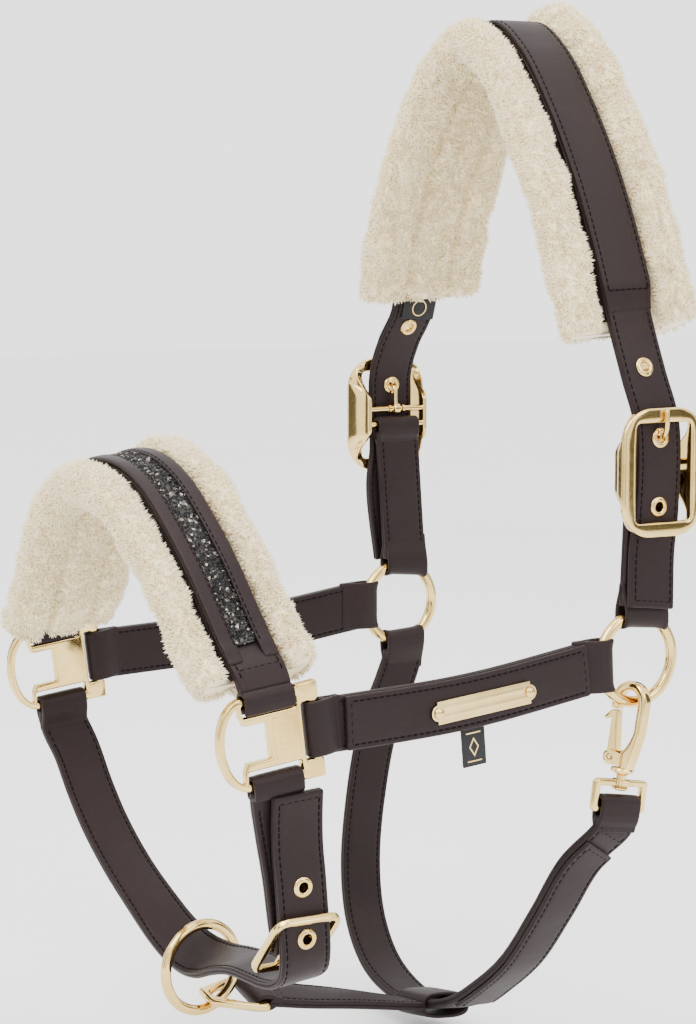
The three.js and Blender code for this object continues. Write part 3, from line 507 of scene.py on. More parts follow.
def strap(node, path, width, thickness, above=0.0, both=True, material=LEATHER_LOOK,
          seams=True, seam_ends=(3.0, 3.0), ends=(), extra=(), holes=(), sink=None):
    """A strap in place of its CAD node, and its thread.

    Seams run along both edges, `seam_ends` from its ends, and across it at each of `ends`, on both faces or
    only the outer one. `extra` adds folds to the same piece.
    """
    path = refine_ends(path)
    body = sweep(path, strap_section(width, thickness, seams), above, sink=sink)
    points, faces = gather([body, *extra])
    obj = solid(node + "_leather", points, faces, material, "root", [node])
    if holes:
        punch(obj, holes)
    if seams:
        top = above + thickness / 2 - 0.12
        rows = []
        for u in (width / 2 - SEAM, SEAM - width / 2):
            rows += seam(path, u, top, *seam_ends)
            if both:
                rows += seam(path, u, 2 * above - top, *seam_ends)
        for s in ends:
            rows += cross_seam(path, s if s >= 0 else path.at[-1] + s, width / 2 - SEAM, top)
        sew(node + "_leather", rows)


def cover(node, path, width, ends):
    """A second stitched layer on a strap's outer face."""
    strap(node, path, width, LEATHER, above=ON_STRAP + LEATHER / 2, both=False, ends=ends)


def backing(node, path, width, strap_thickness):
    """The thin leather between a strap and its pile."""
    strap(node, path, width, BACKING, above=-strap_thickness / 2 - GAP - BACKING / 2, seams=False,
          material=INNER_LOOK)


def punch(obj, holes):
    """Round holes through a strap: (centre, axis, radius)."""
    drill = 9
    points, faces = gather([
        lathe([(0.0, -drill), (radius, -drill), (radius, drill), (0.0, drill)], centre, axis, 20)
        for centre, axis, radius in holes
    ])
    mesh = bpy.data.meshes.new("punch")
    mesh.from_pydata(metres(points).tolist(), [], faces)
    clean(mesh, 1e-7)
    tool = placed("punch", mesh)
    step = obj.modifiers.new("holes", "BOOLEAN")
    step.object = tool
    step.operation = "DIFFERENCE"
    step.solver = "EXACT"
    bpy.context.view_layer.update()
    old = obj.data
    cut = bpy.data.meshes.new_from_object(obj.evaluated_get(bpy.context.evaluated_depsgraph_get()))
    obj.modifiers.clear()
    obj.data = cut
    bpy.data.objects.remove(tool)
    for mesh in (old, mesh):
        bpy.data.meshes.remove(mesh)


def lathe(profile, centre, axis, sides=32):
    """A turned shape: (radius, height) pairs about an axis."""
    axis = unit(axis)
    first = unit(np.cross(axis, (0.3, 0.9, 0.2)))
    second = np.cross(axis, first)
    rings = []
    for k in range(sides):
        a = 2 * math.pi * k / sides
        spoke = first * math.cos(a) + second * math.sin(a)
        rings.append(np.array([np.asarray(centre) + spoke * max(r, 1e-4) + axis * h for r, h in profile]))
    count = len(profile)
    faces = []
    for k in range(sides):
        a, b = k * count, ((k + 1) % sides) * count
        faces += [[a + i, a + i + 1, b + i + 1, b + i] for i in range(count - 1)]
    if profile[0] != profile[-1]:
        faces.append([k * count for k in range(sides)])
        faces.append([k * count + count - 1 for k in reversed(range(sides))])
    return np.concatenate(rings), faces


def collar(inner, outer, bevel, half, centre, axis):
    """A bevelled ring round a bar."""
    shoulder = half - 0.4
    side = [(inner, -half), (outer - bevel, -half), (outer, -shoulder)]
    return lathe([*side, *((r, -h) for r, h in reversed(side)), side[0]], centre, axis)


def tube(points, radius, sides=16):
    """A round wire through points, rounded at its ends."""
    path = Line(spline(points, 0.5), (0.13, 0.97, 0.21))
    a = np.arange(sides) / sides * 2 * math.pi
    rings = []
    for i, s in enumerate(path.at):
        near = min(s, path.at[-1] - s)
        r = radius
        if near < radius:
            r = radius * math.sqrt(max(0.02, 1 - (1 - near / radius) ** 2))
        rings.append(path.place(i, r * np.cos(a), r * np.sin(a)))
    return grid(rings, closed=False)


def plate(outlines, thickness, bevel, basis, origin):
    """A flat casting with rounded edges, from its outline and holes, put in place."""
    curve = bpy.data.curves.new("plate", "CURVE")
    curve.dimensions = "2D"
    curve.fill_mode = "BOTH"
    for number, outline in enumerate(outlines):
        outline = np.asarray(outline, float)
        if len(outline) > 2 and np.allclose(outline[0], outline[-1], atol=1e-6):
            outline = outline[:-1]
        area = np.sum(outline[:, 0] * np.roll(outline[:, 1], -1) - np.roll(outline[:, 0], -1) * outline[:, 1])
        if (area > 0) != (number == 0):
            outline = outline[::-1]
        path = curve.splines.new("POLY")
        path.points.add(len(outline) - 1)
        path.use_cyclic_u = True
        for point, (x, y) in zip(path.points, outline):
            point.co = (x, y, 0, 1)
    curve.extrude = thickness / 2 - bevel
    curve.bevel_depth = bevel
    curve.bevel_resolution = 3
    curve.offset = -bevel
    holder = placed("plate", curve)
    bpy.context.view_layer.update()
    mesh = bpy.data.meshes.new_from_object(holder.evaluated_get(bpy.context.evaluated_depsgraph_get()))
    clean(mesh, 1e-3)
    points = np.array([v.co[:] for v in mesh.vertices])
    faces = [list(p.vertices) for p in mesh.polygons]
    bpy.data.objects.remove(holder)
    bpy.data.curves.remove(curve)
    bpy.data.meshes.remove(mesh)
    return np.asarray(origin) + points @ np.asarray(basis, float), faces


def rounded(width, height, radius, centre=(0, 0)):
    """A rounded rectangle's outline."""
    points, steps = [], 6
    for k, (sx, sy) in enumerate(((1, 1), (-1, 1), (-1, -1), (1, -1))):
        for i in range(steps + 1):
            a = math.radians(90 * (k + i / steps))
            points.append((
                centre[0] + sx * (width / 2 - radius) + radius * math.cos(a),
                centre[1] + sy * (height / 2 - radius) + radius * math.sin(a),
            ))
    return points


def ellipse(x, y, rx, ry, start, end, steps=24):
    angles = np.linspace(start, end, steps + 1)
    return [(x + rx * math.cos(a), y + ry * math.sin(a)) for a in angles]


def normals(outline):
    """Which way each point of a closed outline faces."""
    forward = units(np.roll(outline, -1, 0) - np.roll(outline, 1, 0))
    return np.stack([forward[:, 1], -forward[:, 0]], 1)


def evened(outline, count):
    """A closed outline as that many evenly spaced points."""
    closed = np.vstack([outline, outline[:1]])
    at = lengths(closed)
    return interpolated(np.linspace(0, at[-1], count, endpoint=False), at, closed)


def band(outline, width, centre, along, outward, shift=None):
    """A single layer of leather round a closed outline in the plane of `along` and `outward`."""
    along, outward = unit(along), np.asarray(outward, float)
    outward = unit(outward - along * outward.dot(along))
    across = np.cross(along, outward)
    outline = np.asarray(outline, float)
    normal = normals(outline)
    section = strap_section(width, LEATHER, False)
    rings = []
    for p, n in zip(outline, normal):
        u, v = section[:, 0], section[:, 1]
        x, y = p[0] + n[0] * v, p[1] + n[1] * v
        if shift is not None:
            x = x + shift(u, p[0])
        rings.append(
            np.asarray(centre) + np.multiply.outer(x, along) + np.multiply.outer(y, outward)
            + np.multiply.outer(u, across)
        )
    return grid(rings, closed=True)


def teardrop(length, height, tail, waist=STRAP / 4):
    """Middle of a layer that leaves a strap, passes round a bar at the origin and comes back."""
    reach, rise = length / 2 + LEATHER / 2, height / 2 + LEATHER / 2
    bend = min(reach, rise) * 0.95
    top = [
        (tail, waist), (tail * 0.72 + 0.28 * reach, waist + 0.12 * (rise - waist)),
        (reach + 2.2, rise * 0.86), (reach - 0.6, rise),
    ]
    for k in range(7):
        a = math.radians(90 + 15 * k)
        top.append((bend - reach + bend * math.cos(a), rise - bend + bend * math.sin(a)))
    top = [q for k, q in enumerate(top) if k < 4 or q[0] < top[3][0] - 0.1]
    bottom = [(x, -y) for x, y in reversed(top) if y > 0.05]
    return evened(np.array(top + bottom), 60)[::-1]


# ---------- places from the CAD ----------
FITTING = {"x": 112.0, "y": -194.4, "z": -16.4, "tilt": 0.12, "size": 0.93}
COS, SIN = math.cos(FITTING["tilt"]), math.sin(FITTING["tilt"])
FITTING_BACK, FITTING_UP = np.array((0, COS, SIN)), np.array((0, -SIN, COS))
SLOT_BAR, SLOT_MIDDLE, REAR_BAR = (FITTING["size"] * reach for reach in (20.5, -7.7, 15.8))
FOLD_LENGTH, FOLD_HEIGHT = 4.6, 5.1
FOLD_REACH = FOLD_LENGTH / 2 + LEATHER / 2
RING_X, RING_RADIUS, RING_WIRE = 107.0, 20.9, 2.7
RING_REACH = RING_RADIUS + RING_WIRE + GAP + LEATHER / 2
SIDES = (("near", 1), ("far", -1))


def on_fitting(side, a, b, out=0.0):
    return np.array((
        side * (FITTING["x"] + out), FITTING["y"] + a * COS - b * SIN, FITTING["z"] + a * SIN + b * COS,
    ))


def fitting_fold(side, a, b, along, width, tail=13.0):
    return band(teardrop(FOLD_LENGTH, FOLD_HEIGHT, tail), width, on_fitting(side, a, b), along, (side, 0, 0))


def ring_fold(side, angle, width, aside):
    """A strap's end round a cheek ring, following the ring's curve."""
    tail = 15.0
    out = np.array((0, math.cos(angle), math.sin(angle)))
    across = np.cross(out, (side, 0, 0))
    wrap = 2 * (RING_WIRE + GAP)

    def follow(u, x):
        # u counts from the band's middle, which lies `aside` of the ring's own middle
        sag = RING_RADIUS - np.sqrt(np.maximum(RING_RADIUS ** 2 - (u + aside) ** 2, 30.0))
        fade = min(max((tail - x) / (tail - 4), 0), 1)
        return -0.55 * sag * fade

    centre = np.array((side * RING_X, 0, 0)) + out * RING_RADIUS + across * aside
    return band(teardrop(wrap, wrap, tail), width, centre, out, (side, 0, 0), follow)


# ---------- rings ----------
def torus(name, centre, radius, wire, yaw, body):
    normal = np.array((math.cos(yaw), math.sin(yaw), 0))
    forward = np.array((-math.sin(yaw), math.cos(yaw), 0))
    b = np.arange(24) / 24 * 2 * math.pi
    rings = []
    for k in range(96):
        a = 2 * math.pi * k / 96
        spoke = forward * math.cos(a) + np.array((0, 0, 1)) * math.sin(a)
        middle = np.asarray(centre) + spoke * radius
        rings.append(middle + np.outer(wire * np.cos(b), spoke) + np.outer(wire * np.sin(b), normal))
    metal(name, [grid(rings)], body, 0)


for name, side in SIDES:
    torus(f"{name}_cheek_ring", (side * RING_X, 0, 0), RING_RADIUS, RING_WIRE, 0, f"{name}_ring")
torus("chin_ring", (0, -178, -151), 21, 2.6, 0.15, "chin_ring")


# ---------- nose fittings ----------
def fitting_outlines():
    outer = [(-23, 22.5)] + ellipse(-21.4, 0, 15.1, 22.5, 0.5 * math.pi, 1.5 * math.pi)
    ears = [(6.9, -22.5), (7.2, -23.2), (18.2, -23.5), (18.8, -22.8), (18.8, -14.7), (17.8, -14.1)]
    outer += ears + [(x, -y) for x, y in reversed(ears)]
    opening = [(-9.3, -9), (-9.3, 9), (-21.5, 9), (-23.5, 13)]
    opening += ellipse(-21.4, 0, 11.6, 19, 0.57 * math.pi, 1.43 * math.pi) + [(-23.5, -13), (-21.5, -9)]
    holes = [rounded(29.2, 5.5, 1.2, (-7.7, y)) for y in (-15.75, 15.75)]
    holes += [rounded(4.5, 27.8, 1.2, (11.55, 0)), opening]
    return [np.array(o) * FITTING["size"] for o in [outer, *holes]]


for name, side in SIDES:
    basis = np.array((FITTING_BACK, FITTING_UP, (1, 0, 0)))
    parts = [plate(fitting_outlines(), 4.5, 0.85, basis, on_fitting(side, 0, 0))]
    # A raised border round five plain bars.
    face = on_fitting(side, 0, 0, 2.25)
    border = [rounded(13.5, 19.5, 1.0, (0.1, 0)), rounded(12.3, 18.3, 0.7, (0.1, 0))]
    parts.append(plate(border, 0.5, 0.12, basis, face))
    for b in (-5.4, -2.7, 0, 2.7, 5.4):
        parts.append(plate([rounded(8.2, 0.9, 0.4, (0.1, b))], 0.5, 0.15, basis, face))
    metal(f"{name}_nose_fitting", parts, crease=30)


# ---------- crown buckles ----------
BUCKLE = {"x": 116.0, "width": 47.0, "height": 61.0, "window": 32.0, "drop": 47.0, "depth": 12.5}
BAR_RADIUS = 1.6
BAR_WRAP = 2 * (BAR_RADIUS + GAP)
BUCKLES = {"near": (1, 7.0, 89.3), "far": (-1, -3.0, 102.0)}
PRONG_BAR, STRAP_BAR = (-10.0, 3.5), (-10.8, -4.6)


def polar(theta, width, height, radius):
    """Where a ray from the middle leaves a rounded rectangle."""
    c, s = abs(math.cos(theta)), abs(math.sin(theta))
    x, y = width / 2, height / 2
    if c > 1e-9 and x / c * s <= y - radius:
        reach = x / c
    elif s > 1e-9 and y / s * c <= x - radius:
        reach = y / s
    else:
        cx, cy = x - radius, y - radius
        along = cx * c + cy * s
        reach = along + math.sqrt(max(along ** 2 - (cx ** 2 + cy ** 2 - radius ** 2), 0))
    return np.array((reach * math.cos(theta), reach * math.sin(theta)))


def frame_loop(outer, inner, thickness, crown, depth=None):
    """A cast frame between two rounded rectangles: points (across, up, out).

    `crown` is how square its rails are. `depth` says how far a place on them reaches inward.
    """
    stations = 144
    profile = []
    for k in range(24):
        a = 2 * math.pi * k / 24
        c, s = math.cos(a), math.sin(a)
        profile.append((abs(c) ** 0.5 * math.copysign(1, c), abs(s) ** crown * math.copysign(1, s)))
    rings = []
    for k in range(stations):
        theta = 2 * math.pi * (k + 0.5) / stations
        p, q = polar(theta, *outer), polar(theta, *inner)
        middle, half = (p + q) / 2, (p - q) / 2
        sink = depth(middle) if depth else 0.0
        ring = []
        for x, y in profile:
            deep = min(1.0, sink / 6.0) * min(1.0, 1.4 * max(0.0, -y))
            flat = middle + half * ((1 - deep) * x + deep * (0.34 * x - 0.66))
            height = y * thickness / 2 - (sink if y < 0 else 0) * min(1, abs(y) * 1.2)
            ring.append((flat[0], flat[1], height))
        rings.append(np.array(ring))
    return grid(rings, closed=True)


def buckle_depth(middle):
    """How far the rails reach towards the head."""
    y, z = middle
    if abs(y) < BUCKLE["window"] / 2 - 1:
        return 0.0
    t = min(max((BUCKLE["drop"] / 2 - abs(z)) / (0.3 * BUCKLE["drop"]), 0), 1)
    return (BUCKLE["depth"] - 2) * ease(t)


for name, (side, y, z) in BUCKLES.items():
    basis = np.array(((0, side, 0), (0, 0, 1), (side, 0, 0)))
    origin = np.array((side * BUCKLE["x"], y, z))
    outside, window = (BUCKLE["width"], BUCKLE["height"], 16), (BUCKLE["window"], BUCKLE["drop"], 2.5)
    loop, faces = frame_loop(outside, window, 4.0, 0.42, buckle_depth)
    parts = [(origin + loop @ basis, faces)]
    for x, up in (PRONG_BAR, STRAP_BAR):
        bar = [(-17.6, up, x), (0, up, x), (17.6, up, x)]
        parts.append(tube([origin + np.array(p) @ basis for p in bar], BAR_RADIUS))
    for x in (-1, 1):
        bead = origin + np.array((x * 4.2, PRONG_BAR[1], PRONG_BAR[0])) @ basis
        parts.append(lathe([(1.6, -1), (2.2, -0.6), (2.2, 0.6), (1.6, 1)], bead, basis[0]))
    metal(f"{name}_crown_buckle", parts)

    bar_at = origin + np.array((0, PRONG_BAR[1], PRONG_BAR[0])) @ basis
    over = 2 + GAP + 1.2 + 10
    wire = [(0, 1.9), (0.2, 6), (0.7, 10.6), (2.4, 12.3), (5.5, 12.8), (10, 13.3), (12.6, 15.6), (over, 19.5),
            (over + 0.1, 26.5)]
    prong = tube([bar_at + np.array((0, up, x)) @ basis for x, up in wire], 1.25)
    metal(f"{name}_crown_prong", [prong, collar(1.9, 3.1, 0.4, 1.7, bar_at, basis[0])], f"{name}_prong")


# ---------- crown ----------
NEAR_ARCH = [(97, 2, 158), (89, 1, 182), (71.5, 0, 222), (48.5, 0, 258.5), (23, 0, 288.5)]
FAR_ARCH = [(97.5, 2, 158), (92, 1, 182), (76.5, 0, 222), (54, 0, 260.5), (26.5, 0, 289.5)]


def crown_half(side, y, z, arch):
    away = side * 111.5
    low = [(side * 115, 2, 25), (away, y - 2, z - 38), (away, y, z - 20), (away, y, z + 22)]
    low.append((side * 105.6, (y + 2) / 2 - 1, (z + 22 + 158) / 2))
    return low + [(side * a, b, c) for a, b, c in arch]


crown = line(
    [*crown_half(*BUCKLES["near"], NEAR_ARCH), (0, 0, 300.8), *crown_half(*BUCKLES["far"], FAR_ARCH)[::-1]],
    (0, 1, 0),
)


def at_height(path, height, side):
    """(place, outward, across) where one side of a line passes a height."""
    for i in range(1, len(path.centre)):
        a, b = path.centre[i - 1], path.centre[i]
        if b[0] * side > 0 and (a[2] - height) * (b[2] - height) <= 0:
            return a + (b - a) * (height - a[2]) / (b[2] - a[2]), path.out[i], path.side[i]
    raise ValueError(height)


HOLE_PITCH, HOLE_RADIUS = 32.5, 3.25


def eyelet(name, spot):
    """An eyelet through a billet, and the hole that it needs."""
    centre, outward = spot[:2]
    end = BILLET / 2 + 0.45 + 0.8
    drops = {2.3: 0.9, 2.45: 0.35, 2.8: 0.05, 3.4: 0, 4.1: 0.2, 4.6: 0.55, 4.75: 0.8, 3.0: 0.82}
    half = [(r, end - drop) for r, drop in drops.items()]
    profile = [*half, *((r, -h) for r, h in reversed(half)), half[0]]
    metal(name, [lathe(profile, centre, outward, 40)], crease=50)
    return centre, outward, HOLE_RADIUS


holes = []
for name, (side, y, z) in BUCKLES.items():
    for label, up in (("upper", HOLE_PITCH), ("buckled", 0), ("lower", -HOLE_PITCH)):
        holes.append(eyelet(f"{name}_eyelet_{label}", at_height(crown, z + PRONG_BAR[1] + 12.5 + up, side)))
strap("crown_strap", crown, WIDTH, BILLET, ends=(3.2, -3.2), holes=holes)
strap(
    "crown_cover", crown.cut(lambda c: c[2] > 163), 28, LEATHER, above=BILLET / 2 + GAP + LEATHER / 2,
    both=False, ends=(10, -10), seam_ends=(10, 10), sink=(14, 2.0, 0.10),
)
backing("crown_backing", crown.cut(lambda c: c[2] > (160 if c[0] > 0 else 169)), 32, BILLET)


# ---------- pile linings ----------
def pile_section(width, thickness, channel, floor, rim):
    """The lining's closed outline, round where the pile stands and flat along the strap."""
    half, inner, low = width / 2, channel / 2, floor - thickness
    corners = [
        (-half, low + 7.5), (-half + 7.5, low + 0.4), (-inner * 0.5, low), (inner * 0.5, low),
        (half - 7.5, low + 0.4), (half, low + 7.5), (half + 0.4, (low + rim) / 2), (half - 0.2, rim - 5.5),
        (half - 5, rim + 0.2), (inner + 2.4, rim + 0.2), (inner + 0.2, rim - 2.2), (inner, floor + 0.4),
        (inner - 1.5, floor), (0, floor),
    ]
    corners += [(-x, y) for x, y in corners[6:-1][::-1]]
    p = np.array(corners)
    for _ in range(3):
        q = np.roll(p, -1, 0)
        p = np.stack([0.75 * p + 0.25 * q, 0.25 * p + 0.75 * q], 1).reshape(-1, 2)
    return p


def lumpy(point, coarse, fine):
    place = Vector(point)
    finest = 0.3 * noise.noise(place / 1.8)
    return coarse * noise.noise(place / 13.0) + fine * noise.noise(place / 4.2) + finest


def lining(name, node, path, width, channel, floor, rim, fibres, seed, rear, front):
    """A pad of pile under a strap, and its locks.

    Its section is `width` across, with a `channel` for the strap whose floor and whose rims lie at those
    heights. `rear` and `front` raise the rim on that side.
    """
    section = evened(pile_section(width, PILE_THICKNESS, channel, floor, rim), 200)
    away = np.clip((np.abs(section[:, 0]) - channel / 2 + 1.5) / 9, 0, 1)
    rise = np.clip((section[:, 1] - floor + 4) / 8, 0, 1) * ease(away)
    section[:, 1] += rise * np.where(section[:, 0] > 0, rear, front)
    section = evened(section, 150)
    for _ in range(3):
        section = (np.roll(section, 1, 0) + 2 * section + np.roll(section, -1, 0)) / 4
    normal = normals(section)
    count, total = len(section), path.at[-1]
    # 1 on the faces where pile stands, 0 in the strap's channel
    standing = np.array([
        0.0 if abs(x) < channel / 2 - 0.6 and floor - 1.5 < y < floor + 2.5 else 1.0 for x, y in section
    ])
    rings = []
    for i, s in enumerate(path.at):
        near = min(s, total - s)
        inset = 3.0 * (1 - math.sqrt(max(0.0, 1 - (1 - min(near / 6.0, 1)) ** 2)))
        ring = []
        for (x, y), n, up in zip(section, normal, standing):
            groove = 0.0
            if y < floor - PILE_THICKNESS + 3:
                groove = 3.6 * math.exp(-((abs(x) - channel * 0.42) / 2.4) ** 2)
            swell = up * (lumpy(path.place(i, x, y), 1.7, 1.1) - 0.3) - groove - inset - (2.1 * up)
            ring.append(path.place(i, x + n[0] * swell, y + n[1] * swell))
        rings.append(np.array(ring))
    points, faces = grid(rings, closed=False, caps=False)
    for triangle in tessellate_polygon([[Vector((x, y, 0)) for x, y in section]]):
        faces.append(list(triangle))
        faces.append([(len(rings) - 1) * count + k for k in triangle])
    pad = solid(name, points, faces, PILE, "root", [node], 0)

    # Locks of pile: closed, tapering and slightly bent, over every face but the channel.
    rng = np.random.default_rng(seed)
    rows = len(rings)
    surface = np.array(rings)
    r = rng.uniform(0, rows - 1.001, fibres * 2)
    c = rng.uniform(0, count, fibres * 2)
    keep = standing[(c.astype(int)) % count] > 0
    r, c = r[keep][:fibres], c[keep][:fibres]
    r0, c0 = r.astype(int), c.astype(int)
    fr, fc = (r - r0)[:, None], (c - c0)[:, None]
    r1, c1 = np.minimum(r0 + 1, rows - 1), (c0 + 1) % count
    root = (
        surface[r0, c0] * (1 - fr) * (1 - fc) + surface[r1, c0] * fr * (1 - fc)
        + surface[r0, c1] * (1 - fr) * fc + surface[r1, c1] * fr * fc
    )
    heading = path.side[r0] * normal[c0 % count, :1] + path.out[r0] * normal[c0 % count, 1:]
    heading = heading + rng.normal(0, 0.2, (len(root), 3))
    heading += 0.45 * np.array([noise.noise_vector(Vector(p) / 9.0) for p in root])
    edge = np.minimum(path.at[r0], total - path.at[r0])
    endward = np.where(path.at[r0] < total / 2, -1.0, 1.0)[:, None] * path.tangent[r0]
    heading = units(heading + endward * np.clip(1 - edge / 5.0, 0, 1)[:, None] * 1.3)
    length = rng.uniform(1.6, 3.1, len(root))[:, None]
    bow = rng.normal(0, 0.22, (len(root), 3))
    first = units(np.cross(heading, rng.normal(0, 1, (len(root), 3))))
    second = np.cross(heading, first)
    girth = rng.uniform(0.3, 0.55, len(root))[:, None]
    points = np.empty((len(root), 7, 3))
    for k in range(3):
        a = 2 * math.pi * k / 3
        spoke = (first * math.cos(a) + second * math.sin(a)) * girth
        points[:, k] = root - heading * 0.8 + spoke
        points[:, 3 + k] = root + heading * length * 0.5 + bow * 0.35 + spoke * 0.75
    points[:, 6] = root + heading * length + bow
    cells = [(2, 1, 0), (0, 1, 4, 3), (1, 2, 5, 4), (2, 0, 3, 5), (3, 4, 6), (4, 5, 6), (5, 3, 6)]
    # Several pieces, of at most LOCKS_PER_PIECE locks each. Several pieces, because one
    # would be too heavy to export whole.
    for k, start in enumerate(range(0, len(root), LOCKS_PER_PIECE)):
        part = points[start:start + LOCKS_PER_PIECE]
        faces = copies(cells, 7, len(part))
        solid(f"{name}_locks_{k + 1}", part.reshape(-1, 3), faces, LOCKS, crease=0)


FIBRES = 52000
LOCKS_PER_PIECE = 18000
PILE_THICKNESS = 15
lining(
    "crown_lining", "crown_pile", crown.cut(lambda c: c[2] > (155 if c[0] > 0 else 166)),
    width=71, channel=30.6, floor=-3.8, rim=4, fibres=FIBRES, seed=11, rear=10.5, front=2.0,
)

# ---------- cheeks ----------
cheeks = {}
for name, side in SIDES:
    drop = -1.6 if side > 0 else 0.0
    start = on_fitting(side, REAR_BAR + FOLD_REACH, 0)
    path = line([start, (side * 111.5, -100, -10.5), (side * RING_X, -RING_REACH, drop)], (0, 0, -side))
    cheeks[name] = path
    folds = [
        fitting_fold(side, REAR_BAR, 0, FITTING_BACK, WIDTH),
        ring_fold(side, math.pi, WIDTH, side * drop),
    ]
    strap(f"{name}_cheek_strap", path, WIDTH, STRAP, extra=folds, seam_ends=(9, 5), ends=(11, -6))
    y0, y1 = path.centre[0][1] + 11, path.centre[-1][1] - 5.5
    cover(f"{name}_cheek_cover", path.cut(lambda c, y0=y0, y1=y1: y0 < c[1] < y1), 24.4, (2.4, -2.4))

# ---------- drop straps ----------
for name, (side, y, z) in BUCKLES.items():
    top = np.array((side * (BUCKLE["x"] + STRAP_BAR[0]), y, z + STRAP_BAR[1]))
    start = top - (0, 0, BAR_WRAP / 2 + LEATHER / 2)
    path = line([start, (side * RING_X, 3.2, RING_REACH)], (0, 1, 0))
    folds = [
        band(teardrop(BAR_WRAP, BAR_WRAP, 9), WIDTH, top, (0, 0, -1), (side, 0, 0)),
        ring_fold(side, math.pi / 2, WIDTH, side * 3.2),
    ]
    strap(f"{name}_drop_strap", path, WIDTH, STRAP, extra=folds, seam_ends=(5, 6), ends=(16, -9))

# ---------- noseband ----------
NOSE_END = on_fitting(1, SLOT_MIDDLE, SLOT_BAR)


def nose_point(x, z):
    return (x, NOSE_END[1] - 0.12 * (z - NOSE_END[2]), z)


nose_side = [(112, NOSE_END[2] + FOLD_REACH), (107.5, 13), (97, 21), (86, 35), (72, 53), (56, 69.5), (37, 85),
             (18, 93)]
nose = line(
    [nose_point(x, z) for x, z in nose_side] + [nose_point(0, 95)]
    + [nose_point(-x, z) for x, z in reversed(nose_side)], (0, 0.989, 0.15),
)
strap(
    "nose_strap", nose, WIDTH, STRAP, seam_ends=(6, 6), ends=(9.5, -9.5),
    extra=[fitting_fold(side, SLOT_MIDDLE, SLOT_BAR, -FITTING_UP, WIDTH, 4.4) for side in (1, -1)],
)


def roll_section(width, height):
    a = np.linspace(0, 2 * math.pi, 28, endpoint=False)
    u = width / 2 * np.sign(np.cos(a)) * np.abs(np.cos(a)) ** 0.7
    v = height / 2 * np.sign(np.sin(a)) * np.abs(np.sin(a)) ** 0.75
    return np.stack([u, v], 1)


trims = nose.cut(lambda c: c[2] > 15)
for name, end in (("front", -1), ("rear", 1)):
    path = refine_ends(trims, 2.0)
    name = f"nose_trim_{name}"
    points, faces = sweep(path, roll_section(7.4, 2.6), ON_STRAP + 1.3, end * 8.9, 1.0, (9, 2.0, 0.0))
    solid(name + "_leather", points, faces, LEATHER_LOOK, "root", [name])
    sew(name, seam(path, end * 6.4, ON_STRAP + 2.3, 9, 9))


def glitter_strip(path, count=9000, seed=7):
    """Eight-sided crystals strewn over a dark ground."""
    points, faces = sweep(refine_ends(path), strap_section(10, 1.4, False), ON_STRAP + 0.7)
    solid("glitter_strip_ground", points, faces, CRYSTAL, "root", ["glitter_strip"])
    rng = np.random.default_rng(seed)
    s = rng.uniform(0.8, path.at[-1] - 0.8, count)
    u = rng.uniform(-4.9, 4.9, count)[:, None]
    radius = rng.uniform(0.2, 0.44, count)[:, None]
    height = (ON_STRAP + 1.4 + rng.uniform(-0.1, 0.35, count))[:, None]
    centre = path.sample(s, path.centre) + path.sample(s, path.side) * u + path.sample(s, path.out) * height
    axis = rng.normal(0, 1, (3, count, 3))
    axis[0] = units(axis[0])
    axis[1] = units(np.cross(axis[0], axis[1]))
    axis[2] = np.cross(axis[0], axis[1])
    points = np.stack([centre + sign * axis[k] * radius for k in range(3) for sign in (1, -1)], 1)
    cells = [(0, 2, 4), (2, 1, 4), (1, 3, 4), (3, 0, 4), (2, 0, 5), (1, 2, 5), (3, 1, 5), (0, 3, 5)]
    faces = copies(cells, 6, count)
    solid("glitter_strip_crystals", points.reshape(-1, 3), faces, CRYSTAL, crease=1)


glitter_strip(nose.cut(lambda c: c[2] > 20))
backing("nose_backing", nose.cut(lambda c: c[2] > 12), 29, STRAP)
lining(
    "nose_lining", "nose_pile", nose.cut(lambda c: c[2] > 11),
    width=62, channel=27.4, floor=-4.0, rim=4, fibres=int(FIBRES * 0.7), seed=12, rear=5.0, front=1.5,
)

# ---------- chin ----------
far_slot, near_slot = on_fitting(-1, SLOT_MIDDLE, -SLOT_BAR), on_fitting(1, SLOT_MIDDLE, -SLOT_BAR)


def chin_across(c):
    roll = 0.11 + 0.5 * math.exp(-((c[0] / 38) ** 2))
    return (0, math.cos(roll), math.sin(roll))


chin = line([
    far_slot - FITTING_UP * FOLD_REACH, far_slot - FITTING_UP * (FOLD_REACH + 8), (-108.6, -192.5, -62),
    (-101, -189, -80), (-87, -187, -97), (-66, -185, -114), (-44, -183, -127.5), (-22, -181.5, -138.5),
    (0, -181.5, -143.2), (19, -181.5, -142.3), (38, -181.5, -138), (55, -181.5, -135), (72, -181.5, -134.3),
    (86, -181.5, -133.8), (97, -181.7, -131.6), (106, -182.2, -126.3), (110.4, -183.5, -118.5),
    (111.5, -184.5, -107), (111.8, -185.5, -97), (112.3, -187, -82), (112.6, -188.5, -68),
    (113.5, -189.3, -56), (115.9, -190.3, -42),
], chin_across)
heights = (("upper", -85), ("middle", -108.9))
holes = [eyelet(f"chin_eyelet_{label}", at_height(chin, z, 1)) for label, z in heights]
strap("chin_strap", chin, WIDTH, BILLET, seam_ends=(5, 3), ends=(12, -3), holes=holes)
points, faces = fitting_fold(-1, SLOT_MIDDLE, -SLOT_BAR, -FITTING_UP, WIDTH)
solid("chin_strap_fold", points, faces, LEATHER_LOOK)

